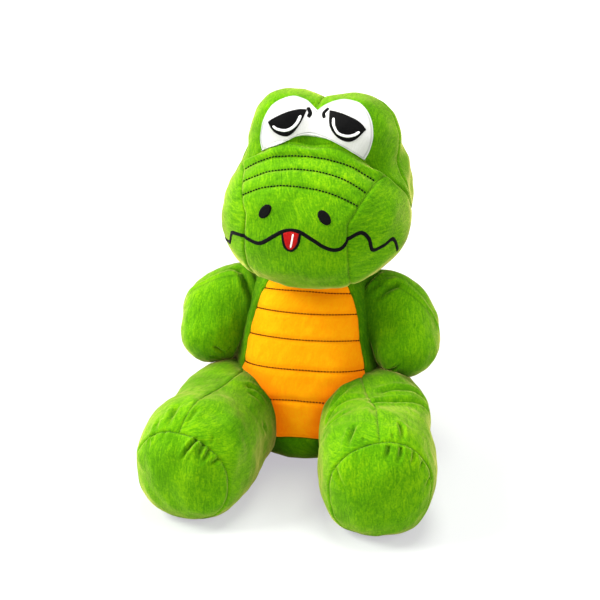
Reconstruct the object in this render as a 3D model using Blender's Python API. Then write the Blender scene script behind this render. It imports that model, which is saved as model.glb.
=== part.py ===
"""A stuffed crocodile toy, sitting, about 300 mm tall.

Every body part is a skin of fabric, cut along its seams into panels, round a wad of stuffing. The
skins are read off smooth forms: ellipsoids melted into one another, met by rays from a point inside,
so a panel and its stuffing both follow one surface. Arms, legs and tail are cut back by the torso,
turned through their own motion, the arms by the legs too, and the torso by the head, so they move
without touching.

Metres, +Z up. The toy faces -Y and its left side is at +X. The origin is the middle of its seat.
"""

import math

import bmesh
import bpy
import numpy as np
from mathutils import Matrix, Vector

# Cloth and thread, and the gaps between pieces
SKIN = 0.0012
GAP = 0.0003
STUFFING_GAP = 0.0008
CLEARANCE = 0.0022
NECK_GAP = 0.0005
COLLAR_GAP = 0.0022
TAIL_GAP = 0.0003
PATCH_LIFT = 0.0013
EYE_LIFT = 0.0010
STITCH_LIFT = 0.0008
BELLY_LIFT = 0.0006
FACE_LIFT = 0.0004
SEAT_CUT = 0.0005
SEAT_SINK = 0.003
FELT = 0.0010
THREAD = 0.0006

# How many steps a motion or a ray is tried at
MOVES = 9
RAY_STEPS = 80

# The torso: wide hips, a narrower chest that leans back, and a ball of stuffing for a neck
HIPS_WIDTH = 0.118
HIPS_DEPTH = 0.108
HIPS_HEIGHT = 0.106
HIPS_POWER = 2.8
BELLY_WIDTH = 0.116
BELLY_DEPTH = 0.096
CHEST_WIDTH = 0.110
CHEST_DEPTH = 0.088
CHEST_HEIGHT = 0.092
CHEST_BACK = 0.022
TORSO_HEIGHT = 0.172
TORSO_MELT = 0.010
NECK_WIDTH = 0.058
NECK_SINK = 0.004

# The head: a broad muzzle, the crown behind it, and two bumps that carry the eyes
MUZZLE_WIDTH = 0.149
MUZZLE_DEPTH = 0.138
MUZZLE_HEIGHT = 0.112
MUZZLE_POWER = 2.3
MUZZLE_FORWARD = 0.014
CHIN_SINK = 0.009
CROWN_WIDTH = 0.147
CROWN_DEPTH = 0.112
CROWN_HEIGHT = 0.116
CROWN_BACK = 0.038
CROWN_RISE = 0.014
EYE_BUMP_WIDTH = 0.070
EYE_BUMP_DEPTH = 0.070
EYE_BUMP_HEIGHT = 0.070
EYE_BUMP_POWER = 2.2
EYE_SPACING = 0.050
EYE_BUMP_BACK = 0.022
EYE_BUMP_RISE = 0.0605
HEAD_MELT = 0.005
HEAD_TURN = -5.7
HEAD_SIDE = 0.0105

# The arms: flippers that hang from the shoulders and bend forward
ARM_WIDTH = 0.056
ARM_DEPTH = 0.050
SHOULDER_WIDTH = 0.054
ELBOW_OUT = 0.0265
ELBOW_DROP = 0.013
HAND_OUT = 0.0278
HAND_FORWARD = 0.026
HAND_DROP = 0.027
HAND_WIDTH = 0.052
ARM_MELT = 0.009

# The legs: thick, straight, lying on the floor and spread apart
HIP_SPACING = 0.104
THIGH_WIDTH = 0.086
FOOT_WIDTH = 0.092
LEG_REACH = 0.170
LEG_SPLAY = 10.6
THIGH_LENGTH_SHARE = 0.92
THIGH_PLACE_SHARE = 0.30
THIGH_POWER = 2.4
FOOT_POWER = 2.4
LEG_MELT = 0.010

# The tail, tapering away behind the seat
TAIL_WIDTH = 0.046
TAIL_HEIGHT = 0.050
TAIL_LENGTH = 0.080
TAIL_TIP_SHARE = 0.5

# Embroidery
NOSTRIL_WIDTH = 0.0088
NOSTRIL_HEIGHT = 0.0138
MOUTH_WIDTH = 0.0030
GLINT_WIDTH = 0.0022
TICK_WIDTH = 0.0020
STITCH_WIDTH = 0.0009

# How far each joint goes, in degrees
NECK_TURN = (-20, 20)
NECK_NOD = (-8, 8)
ARM_SWING = (-12, 38)
LEG_SWING = (-35, 6)
TAIL_WAG = (-15, 15)

# Seams of the head, in degrees: across it from the middle to the left pole, and round it from the front, up
CREASE_SEAM = 60.5
CROWN_SEAM = 102
CROWN_LEAN = 18
CREASE_DROP = 4
CREASE_DROP_BY = 0.6
THROAT_SEAM = -84
NAPE_SEAM = -142
STRIP_FLARE_FROM = 8
STRIP_NARROW = 28
STRIP_WIDE = 57

# Seams of the torso, in degrees: from straight down, and round from the front
BASE_SEAM = 42
NECK_SEAM = 157
BELLY_NARROW = 46
BELLY_WIDE = 66

# The seam round an arm, in degrees from the front, and how far it comes forward on the inner side
ARM_SEAM = 90
ARM_SEAM_SHIFT = 50
ARM_SEAM_SHIFT_AT = -122
ARM_SEAM_SHIFT_WIDTH = 62

# Seams of a leg, in degrees from the way the foot points, and how far the top one leans in at the hip
SOLE_SEAM = 34
LEG_OPENING = 158
LEG_SEAM_LEAN = 14
LEG_SEAM_LEAN_FROM = 80

# The seam round the tail's root, in degrees from its tip
TAIL_OPENING = 150

# Lines of stitches, in degrees: where each crosses the middle, and how far its ends drop
BELLY_LINES = ((155, 10), (140, 9), (119, 8), (94, 5), (72, 1))
BELLY_LINE_SHARES = (0.97, 0.97, 0.97, 0.97, 0.6)
MUZZLE_LINES = ((51.5, 9), (39.8, 10.5), (27.4, 8))

# Outlines on the face, as degrees across and round
EYE_PATCH_EDGE = (
    (1, 79.7), (5.5, 82.6), (10.1, 84.3), (14.8, 85.3), (19.5, 84.8), (24.2, 82.5), (28.5, 78.6), (32.7, 73.5),
    (35.9, 68.4), (38.4, 63.3), (38.9, 58), (33.2, 58.2), (26.1, 59.2), (17.6, 61.4), (9.1, 64.2), (2.1, 66.2),
    (-3.5, 66), (-10.2, 63.8), (-17.2, 60.6), (-26.2, 58), (-35, 57.2), (-34.5, 62), (-32, 66.3), (-29.2, 70.4),
    (-26.4, 74.8), (-23.2, 79), (-18.6, 82.3), (-13.3, 84.3), (-8.3, 84.2), (-3.8, 82.5),
)
LEFT_EYE_EDGE = (
    (8, 77.8), (14.3, 75.4), (20.1, 73.4), (25.4, 72.2), (29.8, 71), (27.3, 65.7), (23.9, 63.4), (18.5, 63.9),
    (13.4, 66.7), (9.9, 71),
)
RIGHT_EYE_EDGE = (
    (-4.8, 78.2), (-7.8, 76.6), (-12.7, 73.8), (-19, 70.9), (-25.2, 68.7), (-24, 65.7), (-21, 63.7),
    (-15.7, 62.7), (-10.4, 64.2), (-6.9, 67.6), (-5.2, 72.4),
)
LEFT_GLINT = ((11.2, 72.2), (12.5, 69.1), (16.3, 66.1), (21.4, 65.2), (25, 66.3), (26.8, 68.4))
RIGHT_GLINT = ((-6.2, 72.8), (-7.7, 69.2), (-11, 66), (-15.3, 64.4), (-20.1, 64.9), (-22, 66.4))
LEFT_TICK = ((7.7, 80.4), (5.6, 78.4), (6.7, 75.5))
RIGHT_TICK = ((-4.4, 81.2), (-2.4, 79), (-3, 76.2))
MOUTH_LINE = (
    (-57, -26), (-54, -11), (-48, -12), (-43.5, -14.6), (-41, -17.2), (-39.2, -9.5), (-36.4, -6.4), (-29.4, -5),
    (-21.1, -6.1), (-16.5, -5.2), (-9.8, -0.3), (-5.2, 2.7), (-0.6, 3.9), (4.3, 3.4), (11, -0.4), (16, -3.9),
    (21, -6), (25.4, -5), (29, -0.1), (35.4, 2.7), (39.6, -1.8), (41.6, -11), (48, -11.6), (55.6, -11.5), (58, -30),
)
EYE_PATCH_MIDDLE = (0, 72.5)
LEFT_EYE_MIDDLE = (18.5, 69.6)
RIGHT_EYE_MIDDLE = (-14.5, 68.6)
NOSTRIL_AT = (16.1, 11.8)
NOSTRIL_LEAN = 38
TONGUE_MIDDLE = (-0.7, -2)
TONGUE_EDGE = (
    (-0.7, 2.5), (-4.6, 1.4), (-4.3, -2.2), (-3.1, -5.4), (-0.8, -6.6), (1.5, -5), (3, -1.8), (3.6, 2),
)
TONGUE_MARK = ((0.4, 1.2), (-0.3, -2), (-0.9, -4.6))

# How much of a panel's width a line of stitches crosses
LINE_SHARE = 0.97
LINE_DROP_POWER = 2.5

X_AXIS, Y_AXIS, Z_AXIS = np.eye(3)
FRONT, BACK, UP, DOWN = -Y_AXIS, Y_AXIS, Z_AXIS, -Z_AXIS

HIPS = np.array((0, 0, HIPS_HEIGHT / 2 - SEAT_SINK))
CHEST = np.array((0, CHEST_BACK, TORSO_HEIGHT - CHEST_HEIGHT / 2))
NECK = np.array((HEAD_SIDE, CHEST_BACK, TORSO_HEIGHT - NECK_SINK))
MUZZLE = np.array((HEAD_SIDE, -MUZZLE_FORWARD, TORSO_HEIGHT - CHIN_SINK + MUZZLE_HEIGHT / 2))
CROWN = MUZZLE + (0, CROWN_BACK, CROWN_RISE)
EYE_BUMP = MUZZLE + (0, EYE_BUMP_BACK, EYE_BUMP_RISE)
HEAD_CENTRE = (MUZZLE + CROWN) / 2
SHOULDER = CHEST + (CHEST_WIDTH / 2, 0, 0)
ELBOW = SHOULDER + (ELBOW_OUT, 0, -ELBOW_DROP)
HAND = SHOULDER + (HAND_OUT, -HAND_FORWARD, -HAND_DROP)
HIP = HIPS + (HIP_SPACING / 2, 0, 0)


def ellipsoid(centre, sizes, power=2.0, frame=np.eye(3)):
    """A form: a function of points that is close to their distance outside the surface."""
    radii = np.array(sizes) / 2

    def form(points):
        shares = np.abs((points - centre) @ frame) / radii
        near = np.maximum((shares**power).sum(axis=-1) ** (1 / power), 1e-6)
        slope = np.linalg.norm((shares / near[..., None]) ** (power - 1) / radii, axis=-1)
        return (near - 1) / np.maximum(slope, 1e-6)

    return form


def melted(forms, melt):
    """The union of forms, filled to about the melt where they meet."""

    def form(points):
        values = np.stack([each(points) for each in forms]) / melt
        least = values.min(axis=0)
        return melt * (least - np.log(np.exp(least - values).sum(axis=0)))

    return form


def mirrored(form):
    return lambda points: form(points * (-1, 1, 1))


def rotation(axis, degrees):
    return np.array(Matrix.Rotation(math.radians(degrees), 3, Vector(axis)))


def turned(form, pivot, turn):
    """The form turned about a pivot by a rotation matrix."""
    return lambda points: form((points - pivot) @ turn + pivot)


def swept(form, pivot, turns):
    """All the space that a form passes through as it takes each of the turns."""
    copies = [turned(form, pivot, turn) for turn in turns]
    return lambda points: np.minimum.reduce([copy(points) for copy in copies])


def without(form, cutter, clearance):
    return lambda points: np.maximum(form(points), clearance - cutter(points))


def seated(form):
    """The form flattened a little under the floor, so that its skin still has a layer after the cut."""
    return lambda points: np.maximum(form(points), -SEAT_CUT - points[..., 2])


def steps(first, last, count):
    return np.linspace(first, last, count + 1)


def turns_about(axis, limits):
    return [rotation(axis, degrees) for degrees in steps(*limits, MOVES - 1)]


def undone(turns):
    return [turn.T for turn in turns]


hips_form = ellipsoid(HIPS, (HIPS_WIDTH, HIPS_DEPTH, HIPS_HEIGHT), HIPS_POWER)
chest_form = ellipsoid(CHEST, (CHEST_WIDTH, CHEST_DEPTH, CHEST_HEIGHT))
neck_form = ellipsoid(NECK, (NECK_WIDTH, NECK_WIDTH, NECK_WIDTH))
belly_form = ellipsoid((HIPS + CHEST) / 2, (BELLY_WIDTH, BELLY_DEPTH, BELLY_WIDTH))
whole_torso = melted([hips_form, belly_form, chest_form], TORSO_MELT)


def bump_form(side):
    centre = EYE_BUMP + (side * EYE_SPACING / 2, 0, 0)
    return ellipsoid(centre, (EYE_BUMP_WIDTH, EYE_BUMP_DEPTH, EYE_BUMP_HEIGHT), EYE_BUMP_POWER)


whole_head = melted(
    [
        ellipsoid(MUZZLE, (MUZZLE_WIDTH, MUZZLE_DEPTH, MUZZLE_HEIGHT), MUZZLE_POWER),
        ellipsoid(CROWN, (CROWN_WIDTH, CROWN_DEPTH, CROWN_HEIGHT)),
        bump_form(1),
        bump_form(-1),
    ],
    HEAD_MELT,
)
head_form = without(whole_head, neck_form, NECK_GAP)

head_moves = [
    rotation(Z_AXIS, HEAD_TURN + turn) @ rotation(X_AXIS, nod)
    for turn in steps(*NECK_TURN, MOVES - 1)
    for nod in steps(*NECK_NOD, 4)
]
torso_form = without(whole_torso, swept(whole_head, NECK, head_moves), CLEARANCE)
torso_form = seated(without(torso_form, neck_form, COLLAR_GAP))

splay = rotation(Z_AXIS, LEG_SPLAY)
foot_way = splay @ FRONT
thigh_centre = HIP + foot_way * LEG_REACH * THIGH_PLACE_SHARE + (0, 0, THIGH_WIDTH / 2 - SEAT_SINK - HIP[2])
foot_centre = HIP + foot_way * (LEG_REACH - FOOT_WIDTH / 2) + (0, 0, FOOT_WIDTH / 2 - SEAT_SINK - HIP[2])
whole_leg = melted(
    [
        ellipsoid(thigh_centre, (THIGH_WIDTH, LEG_REACH * THIGH_LENGTH_SHARE, THIGH_WIDTH), THIGH_POWER, splay),
        ellipsoid(foot_centre, (FOOT_WIDTH, FOOT_WIDTH, FOOT_WIDTH), FOOT_POWER, splay),
    ],
    LEG_MELT,
)
leg_moves = undone(turns_about(-X_AXIS, LEG_SWING))
leg_form = seated(without(whole_leg, swept(whole_torso, HIP, leg_moves), CLEARANCE))

whole_arm = melted(
    [
        ellipsoid(SHOULDER, (SHOULDER_WIDTH, SHOULDER_WIDTH, SHOULDER_WIDTH)),
        ellipsoid(ELBOW, (ARM_WIDTH, ARM_DEPTH, ARM_WIDTH)),
        ellipsoid(HAND, (HAND_WIDTH, HAND_WIDTH, HAND_WIDTH)),
    ],
    ARM_MELT,
)
arm_moves = undone(turns_about(-X_AXIS, ARM_SWING))
arm_form = without(whole_arm, swept(whole_torso, SHOULDER, arm_moves), CLEARANCE)
arm_form = without(arm_form, swept(whole_leg, SHOULDER, arm_moves), CLEARANCE)

TAIL = np.array((0, HIPS_DEPTH / 2 - TAIL_WIDTH / 3, TAIL_HEIGHT / 2 - SEAT_SINK))
tail_tip_sizes = np.array((TAIL_WIDTH, TAIL_LENGTH, TAIL_HEIGHT)) * TAIL_TIP_SHARE
tail_tip = np.array((0, TAIL[1] + TAIL_LENGTH, tail_tip_sizes[2] / 2 - SEAT_SINK))
whole_tail = melted(
    [
        ellipsoid(TAIL + (0, TAIL_LENGTH / 4, 0), (TAIL_WIDTH, TAIL_LENGTH, TAIL_HEIGHT)),
        ellipsoid(tail_tip, tail_tip_sizes),
    ],
    LEG_MELT,
)
tail_moves = undone(turns_about(Z_AXIS, TAIL_WAG))
tail_form = seated(without(whole_tail, swept(whole_torso, TAIL, tail_moves), TAIL_GAP))

REACH = TORSO_HEIGHT
TORSO_CENTRE = (HIPS + CHEST) / 2
ARM_CENTRE = (ELBOW * 2 + HAND) / 3
LEG_CENTRE = (thigh_centre + foot_centre) / 2
TAIL_CENTRE = TAIL + (0, TAIL_LENGTH / 3, 0)


def first_hits(form, centre, directions):
    """How far each ray runs from the centre before it leaves the form."""
    radii = np.linspace(0, REACH, RAY_STEPS)
    first = (form(centre + directions[:, None] * radii[:, None]) > 0).argmax(axis=1)
    low, high = radii[first - 1], radii[first]
    for _ in range(20):
        middle = (low + high) / 2
        out = form(centre + directions * middle[:, None]) > 0
        low, high = np.where(out, low, middle), np.where(out, middle, high)
    return middle


def patch(frame, rows, columns, place=lambda row, column: (row, column)):
    """Directions at angles from a frame's pole and round it, and the triangles between them.

    Points that fall together, as at a pole or where a ring closes, are one point. The triangles are
    alike on both sides of column zero, so a panel's and its stuffing's lie along each other.
    """
    pole, zero, side = frame
    index, directions, grid = {}, [], []
    for row in rows:
        line = []
        for column in columns:
            polar, around = np.radians(place(row, column))
            direction = math.cos(polar) * pole
            direction = direction + math.sin(polar) * (math.cos(around) * zero + math.sin(around) * side)
            key = tuple(np.round(direction, 6) + 0.0)
            if key not in index:
                index[key] = len(directions)
                directions.append(direction / np.linalg.norm(direction))
            line.append(index[key])
        grid.append(line)
    faces = []
    for low, high in zip(grid, grid[1:]):
        for start, end, a, b, c, d in zip(columns, columns[1:], low, low[1:], high[1:], high):
            halves = ((a, b, c), (a, c, d)) if abs(start) <= abs(end) else ((b, c, d), (b, d, a))
            faces += [list(half) for half in halves if len(set(half)) == 3]
    directions = np.array(directions)
    a, b, c = (directions[faces[0][corner]] for corner in range(3))
    if np.dot(np.cross(b - a, c - a), a) < 0:
        faces = [face[::-1] for face in faces]
    return directions, faces


def borders(faces):
    """The edges with one face only, each in its face's own order."""
    edges = {(a, b) for face in faces for a, b in zip(face, face[1:] + face[:1])}
    return sorted((a, b) for a, b in edges if (b, a) not in edges)


def drawn_in(form, centre, directions, faces, amount):
    """The directions with the patch's edges moved inwards, along the surface, by an amount."""
    reach = first_hits(form, centre, directions)
    inward = {}
    for a, b in borders(faces):
        side = np.cross(directions[a], directions[b] * reach[b] - directions[a] * reach[a])
        side = side / np.linalg.norm(side)
        inward.setdefault(a, []).append(side)
        inward.setdefault(b, []).append(side)
    result = directions.copy()
    for point, (first, second) in inward.items():
        shift = (first + second) / (1 + np.dot(first, second)) * amount / reach[point]
        result[point] = directions[point] + shift
        result[point] /= np.linalg.norm(result[point])
    return result


def solid(form, centre, piece, outer=0.0, inner=None, seam=GAP):
    """A closed mesh between two levels of a form over a patch, or all of the form inside a level."""
    directions, faces = piece
    if inner is not None:
        directions = drawn_in(form, centre, directions, faces, seam / 2)
    levels = [outer] if inner is None else [outer, inner]
    rings = []
    for level in levels:
        radii = first_hits(lambda points: form(points) - level, centre, directions)
        rings.append(centre + directions * radii[:, None])
    count = len(directions)
    mesh_faces = [list(face) for face in faces]
    if inner is not None:
        mesh_faces += [[corner + count for corner in reversed(face)] for face in faces]
        mesh_faces += [[b, a, a + count, b + count] for a, b in borders(faces)]
    return np.concatenate(rings), mesh_faces


def flipped(mesh):
    """The mesh on the other side of the middle."""
    points, faces = mesh
    return points * (-1, 1, 1), [face[::-1] for face in faces]


def smooth_line(points, count):
    """A smooth line through points, with the same number of steps between each two."""
    points = [np.array(point, float) for point in points]
    ends = [2 * points[0] - points[1]] + points + [2 * points[-1] - points[-2]]
    line = []
    for before, start, end, after in zip(ends, ends[1:], ends[2:], ends[3:]):
        for step in range(count):
            t = step / count
            line.append(
                start
                + (end - before) * t / 2
                + (before - start * 2.5 + end * 2 - after / 2) * t**2
                + (after - before + (start - end) * 3) / 2 * t**3
            )
    return line + [points[-1]]


LEG_STRETCH = LEG_REACH / FOOT_WIDTH
TAIL_STRETCH = TAIL_LENGTH / TAIL_WIDTH
HEAD_FRAME = (X_AXIS, FRONT, UP)
TORSO_FRAME = (DOWN, FRONT, X_AXIS)
ARM_FRAME = (FRONT, UP, X_AXIS)
LEG_FRAME = (foot_way, UP, splay @ X_AXIS)
TAIL_FRAME = (BACK, UP, -X_AXIS)

RING = steps(0, 360, 16)


def chain(*stretches):
    """One list of angles or shares from stretches that each start where the last one ended."""
    return np.concatenate([stretches[0], *(stretch[1:] for stretch in stretches[1:])])


THROAT_ROWS = steps(NAPE_SEAM, THROAT_SEAM, 3)
MUZZLE_ROWS = chain(steps(THROAT_SEAM, STRIP_FLARE_FROM, 5), steps(STRIP_FLARE_FROM, CREASE_SEAM, 6))
BROW_ROWS = steps(CREASE_SEAM, CROWN_SEAM, 6)
CROWN_ROWS = steps(CROWN_SEAM, NAPE_SEAM + 360, 5)
STRIP_HALF = steps(0, 1, 5)
CHEEK_HALF = steps(1, 2, 3)

BASE_ROWS = steps(0, BASE_SEAM, 3)
TORSO_ROWS = steps(BASE_SEAM, NECK_SEAM, 10)
BELLY_HALF = steps(0, 1, 4)
BACK_HALF = steps(1, 2, 7)


def both(half):
    """Shares from minus to plus, for the two sides of a middle."""
    return chain(-half[::-1], half)


def evenly(first, last, count, stretch):
    """Angles from a pole that step evenly along a form that is longer than it is wide."""

    def eased(angle, share):
        return math.degrees(math.atan2(math.sin(math.radians(angle)), share * math.cos(math.radians(angle))))

    return [eased(angle, stretch) for angle in steps(eased(first, 1 / stretch), eased(last, 1 / stretch), count)]


def across(column, row):
    """A place on the head: degrees across it towards the left, and degrees round it."""
    return 90 - column, row


def strip_half(row):
    """How far the muzzle's middle panel reaches across: narrow below the nose, wide at the crease."""
    front = (row - STRIP_FLARE_FROM) / (CREASE_SEAM - STRIP_FLARE_FROM)
    behind = (NAPE_SEAM + 360 - row) / (NAPE_SEAM + 360 - CROWN_SEAM)
    return STRIP_NARROW + (STRIP_WIDE - STRIP_NARROW) * min(max(min(front, behind), 0.0), 1.0)


def belly_half(row):
    share = (row - BASE_SEAM) / (NECK_SEAM - BASE_SEAM)
    return BELLY_NARROW + (BELLY_WIDE - BELLY_NARROW) * min(max(share, 0.0), 1.0)


def spread(share, seam, end):
    """An angle from the middle: the seam's at a share of 1, and the end's at a share of 2."""
    size = abs(share)
    angle = seam * size if size <= 1 else seam + (end - seam) * (size - 1)
    return math.copysign(angle, share)


def crown_lean(row, share):
    """How far a row near the crown's seam comes forward at the sides of the head."""
    if row < CROWN_SEAM:
        near = (row - CREASE_SEAM) / (CROWN_SEAM - CREASE_SEAM)
    else:
        near = (NAPE_SEAM + 360 - row) / (NAPE_SEAM + 360 - CROWN_SEAM)
    return CROWN_LEAN * max(near, 0.0) * min(max(abs(share) - 0.5, 0.0), 1.0)


def crease_drop(row, share):
    """How far a row near the crease comes down beside the middle."""
    below = (row - STRIP_FLARE_FROM) / (CREASE_SEAM - STRIP_FLARE_FROM)
    above = (CROWN_SEAM - row) / (CROWN_SEAM - CREASE_SEAM)
    return CREASE_DROP * max(min(below, above), 0.0) * min((share / CREASE_DROP_BY) ** 2, 1.0)


def head_place(row, share):
    return across(spread(share, strip_half(row), 90), row - crown_lean(row, share) - crease_drop(row, share))


def torso_place(row, share):
    return row, spread(share, belly_half(row), 180)


def arm_place(row, column):
    away = ((column - ARM_SEAM_SHIFT_AT + 180) % 360 - 180) / ARM_SEAM_SHIFT_WIDTH
    near = 1 - abs(row - ARM_SEAM) / ARM_SEAM
    return row - ARM_SEAM_SHIFT * near * math.exp(-(away**2)), column


def leg_place(row, column):
    behind = max(row - LEG_SEAM_LEAN_FROM, 0) / (LEG_OPENING - LEG_SEAM_LEAN_FROM)
    return row, column - LEG_SEAM_LEAN * behind * (1 + math.cos(math.radians(column))) / 2


def spot(edge, middle, rings=2):
    """A patch of the head inside an outline."""
    edge = [np.array(point, float) for point in edge]
    middle = np.array(middle, float)

    def place(share, column):
        return across(*(middle + (edge[column % len(edge)] - middle) * share))

    return patch(HEAD_FRAME, steps(0, 1, rings), range(len(edge) + 1), place)


def oval(middle, width, height, lean, count=12):
    """Points of an oval on the muzzle, leaning by an angle."""
    scale = math.degrees(1 / (HEAD_CENTRE[1] - MUZZLE[1] + MUZZLE_DEPTH / 2))
    points = []
    for turn in steps(0, 2 * math.pi, count)[:-1]:
        x, y = math.cos(turn) * width / 2 * scale, math.sin(turn) * height / 2 * scale
        c, s = math.cos(math.radians(lean)), math.sin(math.radians(lean))
        points.append((middle[0] + x * c - y * s, middle[1] + x * s + y * c))
    return points


def ribbon(form, centre, frame, places, width):
    """A patch that follows a line of places, as wide as a row of stitches."""
    pole, zero, side = frame
    way = []
    for place in places:
        polar, around = np.radians(place)
        way.append(math.cos(polar) * pole + math.sin(polar) * (math.cos(around) * zero + math.sin(around) * side))
    way = np.array(way)
    reach = first_hits(form, centre, way)
    ahead = np.gradient(way * reach[:, None], axis=0)
    aside = np.cross(way, ahead)
    aside *= (width / 2 / reach / np.linalg.norm(aside, axis=1))[:, None]
    directions = np.concatenate([way + aside, way - aside])
    directions /= np.linalg.norm(directions, axis=1)[:, None]
    count = len(way)
    return directions, [[i, i + count, i + count + 1, i + 1] for i in range(count - 1)]


def material(name, colour, roughness):
    made = bpy.data.materials.new(name)
    made.use_nodes = True
    shader = made.node_tree.nodes["Principled BSDF"]
    shader.inputs["Base Color"].default_value = (*colour, 1)
    shader.inputs["Roughness"].default_value = roughness
    shader.inputs["Metallic"].default_value = 0
    made.diffuse_color = (*colour, 1)
    return made


def pivot(name, place, parent=None, turn=0.0):
    made = bpy.data.objects.new(name, None)
    bpy.context.collection.objects.link(made)
    made.parent = parent
    made.location = place
    made.rotation_euler.z = math.radians(turn)
    return made


def add(name, mesh, colour, carrier, origin):
    """One piece: its faces flattened where it stands on the floor, its origin on its joint."""
    points, faces = mesh
    data = bpy.data.meshes.new(name)
    shape = bmesh.new()
    corners = [shape.verts.new(point) for point in points]
    for face in faces:
        shape.faces.new([corners[corner] for corner in face])
    if min(points[:, 2]) < 0:
        geometry = shape.verts[:] + shape.edges[:] + shape.faces[:]
        cut = bmesh.ops.bisect_plane(shape, geom=geometry, plane_co=(0, 0, 0), plane_no=DOWN, clear_outer=True)
        edges = [item for item in cut["geom_cut"] if isinstance(item, bmesh.types.BMEdge)]
        bmesh.ops.contextual_create(shape, geom=edges)
    bmesh.ops.recalc_face_normals(shape, faces=shape.faces[:])
    bmesh.ops.translate(shape, verts=shape.verts[:], vec=-Vector(origin))
    shape.to_mesh(data)
    shape.free()
    data.shade_smooth()
    data.set_sharp_from_angle(angle=math.radians(50))
    data.materials.append(colour)
    made = bpy.data.objects.new(name, data)
    bpy.context.collection.objects.link(made)
    made.parent = carrier
    return made


def build_torso(green, orange, black, white, body):
    def piece(name, rows, columns, colour):
        shape = patch(TORSO_FRAME, rows, columns, torso_place)
        add(name, solid(torso_form, TORSO_CENTRE, shape, 0, -SKIN), colour, body, (0, 0, 0))

    whole_ring = both(chain(BELLY_HALF, BACK_HALF))
    piece("belly_panel", TORSO_ROWS, both(BELLY_HALF), orange)
    piece("left_back_panel", TORSO_ROWS, BACK_HALF, green)
    piece("right_back_panel", TORSO_ROWS, -BACK_HALF, green)
    piece("base_panel", BASE_ROWS, whole_ring, green)
    rows = chain(BASE_ROWS, TORSO_ROWS, steps(NECK_SEAM, 180, 4))
    stuffing = patch(TORSO_FRAME, rows, whole_ring, torso_place)
    mesh = solid(torso_form, TORSO_CENTRE, stuffing, -SKIN - STUFFING_GAP)
    add("torso_stuffing", mesh, white, body, (0, 0, 0))
    for number, ((middle, drop), width_share) in enumerate(zip(BELLY_LINES, BELLY_LINE_SHARES), 1):
        half = belly_half(middle - drop) * width_share
        line = [(middle - drop * share**2, share * half) for share in steps(-1, 1, 14)]
        row = ribbon(torso_form, TORSO_CENTRE, TORSO_FRAME, line, STITCH_WIDTH)
        mesh = solid(torso_form, TORSO_CENTRE, row, BELLY_LIFT + THREAD, BELLY_LIFT)
        add(f"belly_stitching_{number}", mesh, black, body, (0, 0, 0))


def build_neck(green, white, body):
    sleeve = patch(TORSO_FRAME, steps(60, 120, 2), RING)
    stuffing = patch(TORSO_FRAME, chain(steps(0, 60, 2), steps(60, 120, 2), steps(120, 180, 2)), RING)
    add("neck_sleeve", solid(neck_form, NECK, sleeve, 0, -SKIN), green, body, NECK)
    add("neck_stuffing", solid(neck_form, NECK, stuffing, -SKIN - STUFFING_GAP), white, body, NECK)


def build_head(green, black, red, white, wadding, body):
    def piece(name, shape, colour, outer=0.0, inner=-SKIN):
        add(name, solid(head_form, HEAD_CENTRE, shape, outer, inner), colour, body, NECK)

    def panel(name, rows, columns):
        piece(name, patch(HEAD_FRAME, rows, columns, head_place), green)

    def line(name, points, width, colour, lift):
        row = ribbon(head_form, HEAD_CENTRE, HEAD_FRAME, [across(*point) for point in points], width)
        piece(name, row, colour, lift + THREAD, lift)

    panel("muzzle_panel", MUZZLE_ROWS, both(STRIP_HALF))
    for name, side in (("left", 1), ("right", -1)):
        panel(f"{name}_cheek_panel", chain(THROAT_ROWS, MUZZLE_ROWS), side * CHEEK_HALF)
        panel(f"{name}_brow_panel", BROW_ROWS, side * chain(STRIP_HALF, CHEEK_HALF))
        panel(f"{name}_crown_panel", CROWN_ROWS, side * chain(STRIP_HALF, CHEEK_HALF))
    rows = chain(THROAT_ROWS, MUZZLE_ROWS, BROW_ROWS, CROWN_ROWS)
    stuffing = patch(HEAD_FRAME, rows, both(chain(STRIP_HALF, CHEEK_HALF)), head_place)
    mesh = solid(head_form, HEAD_CENTRE, stuffing, -SKIN - STUFFING_GAP)
    add("head_stuffing", mesh, wadding, body, NECK)

    on_patch = PATCH_LIFT + FELT + EYE_LIFT
    on_eye = on_patch + THREAD + GAP
    piece("eye_patch", spot(EYE_PATCH_EDGE, EYE_PATCH_MIDDLE, 5), white, PATCH_LIFT + FELT, PATCH_LIFT)
    sides = (
        ("left", 1, LEFT_EYE_EDGE, LEFT_EYE_MIDDLE, LEFT_GLINT, LEFT_TICK),
        ("right", -1, RIGHT_EYE_EDGE, RIGHT_EYE_MIDDLE, RIGHT_GLINT, RIGHT_TICK),
    )
    for name, side, eye, eye_middle, glint, tick in sides:
        middle = (side * NOSTRIL_AT[0], NOSTRIL_AT[1])
        nostril = spot(oval(middle, NOSTRIL_WIDTH, NOSTRIL_HEIGHT, side * NOSTRIL_LEAN), middle, 1)
        piece(f"{name}_eye", spot(eye, eye_middle), black, on_patch + THREAD, on_patch)
        line(f"{name}_eye_glint", smooth_line(glint, 3), GLINT_WIDTH, white, on_eye)
        line(f"{name}_brow_stitch", smooth_line(tick, 3), TICK_WIDTH, black, on_patch - GAP)
        piece(f"{name}_nostril", nostril, black, FACE_LIFT + THREAD, FACE_LIFT)
    for number, (middle, drop) in enumerate(MUZZLE_LINES, 1):
        half = strip_half(middle - drop) * LINE_SHARE
        points = [(share * half, middle - drop * abs(share) ** LINE_DROP_POWER) for share in steps(-1, 1, 14)]
        line(f"muzzle_stitching_{number}", points, STITCH_WIDTH, black, STITCH_LIFT)
    line("mouth_stitching", smooth_line(MOUTH_LINE, 3), MOUTH_WIDTH, black, FACE_LIFT)
    piece("tongue", spot(TONGUE_EDGE, TONGUE_MIDDLE, 1), red, FACE_LIFT + THREAD, FACE_LIFT)
    line("tongue_mark", TONGUE_MARK, GLINT_WIDTH, white, FACE_LIFT + THREAD + GAP)


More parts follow.
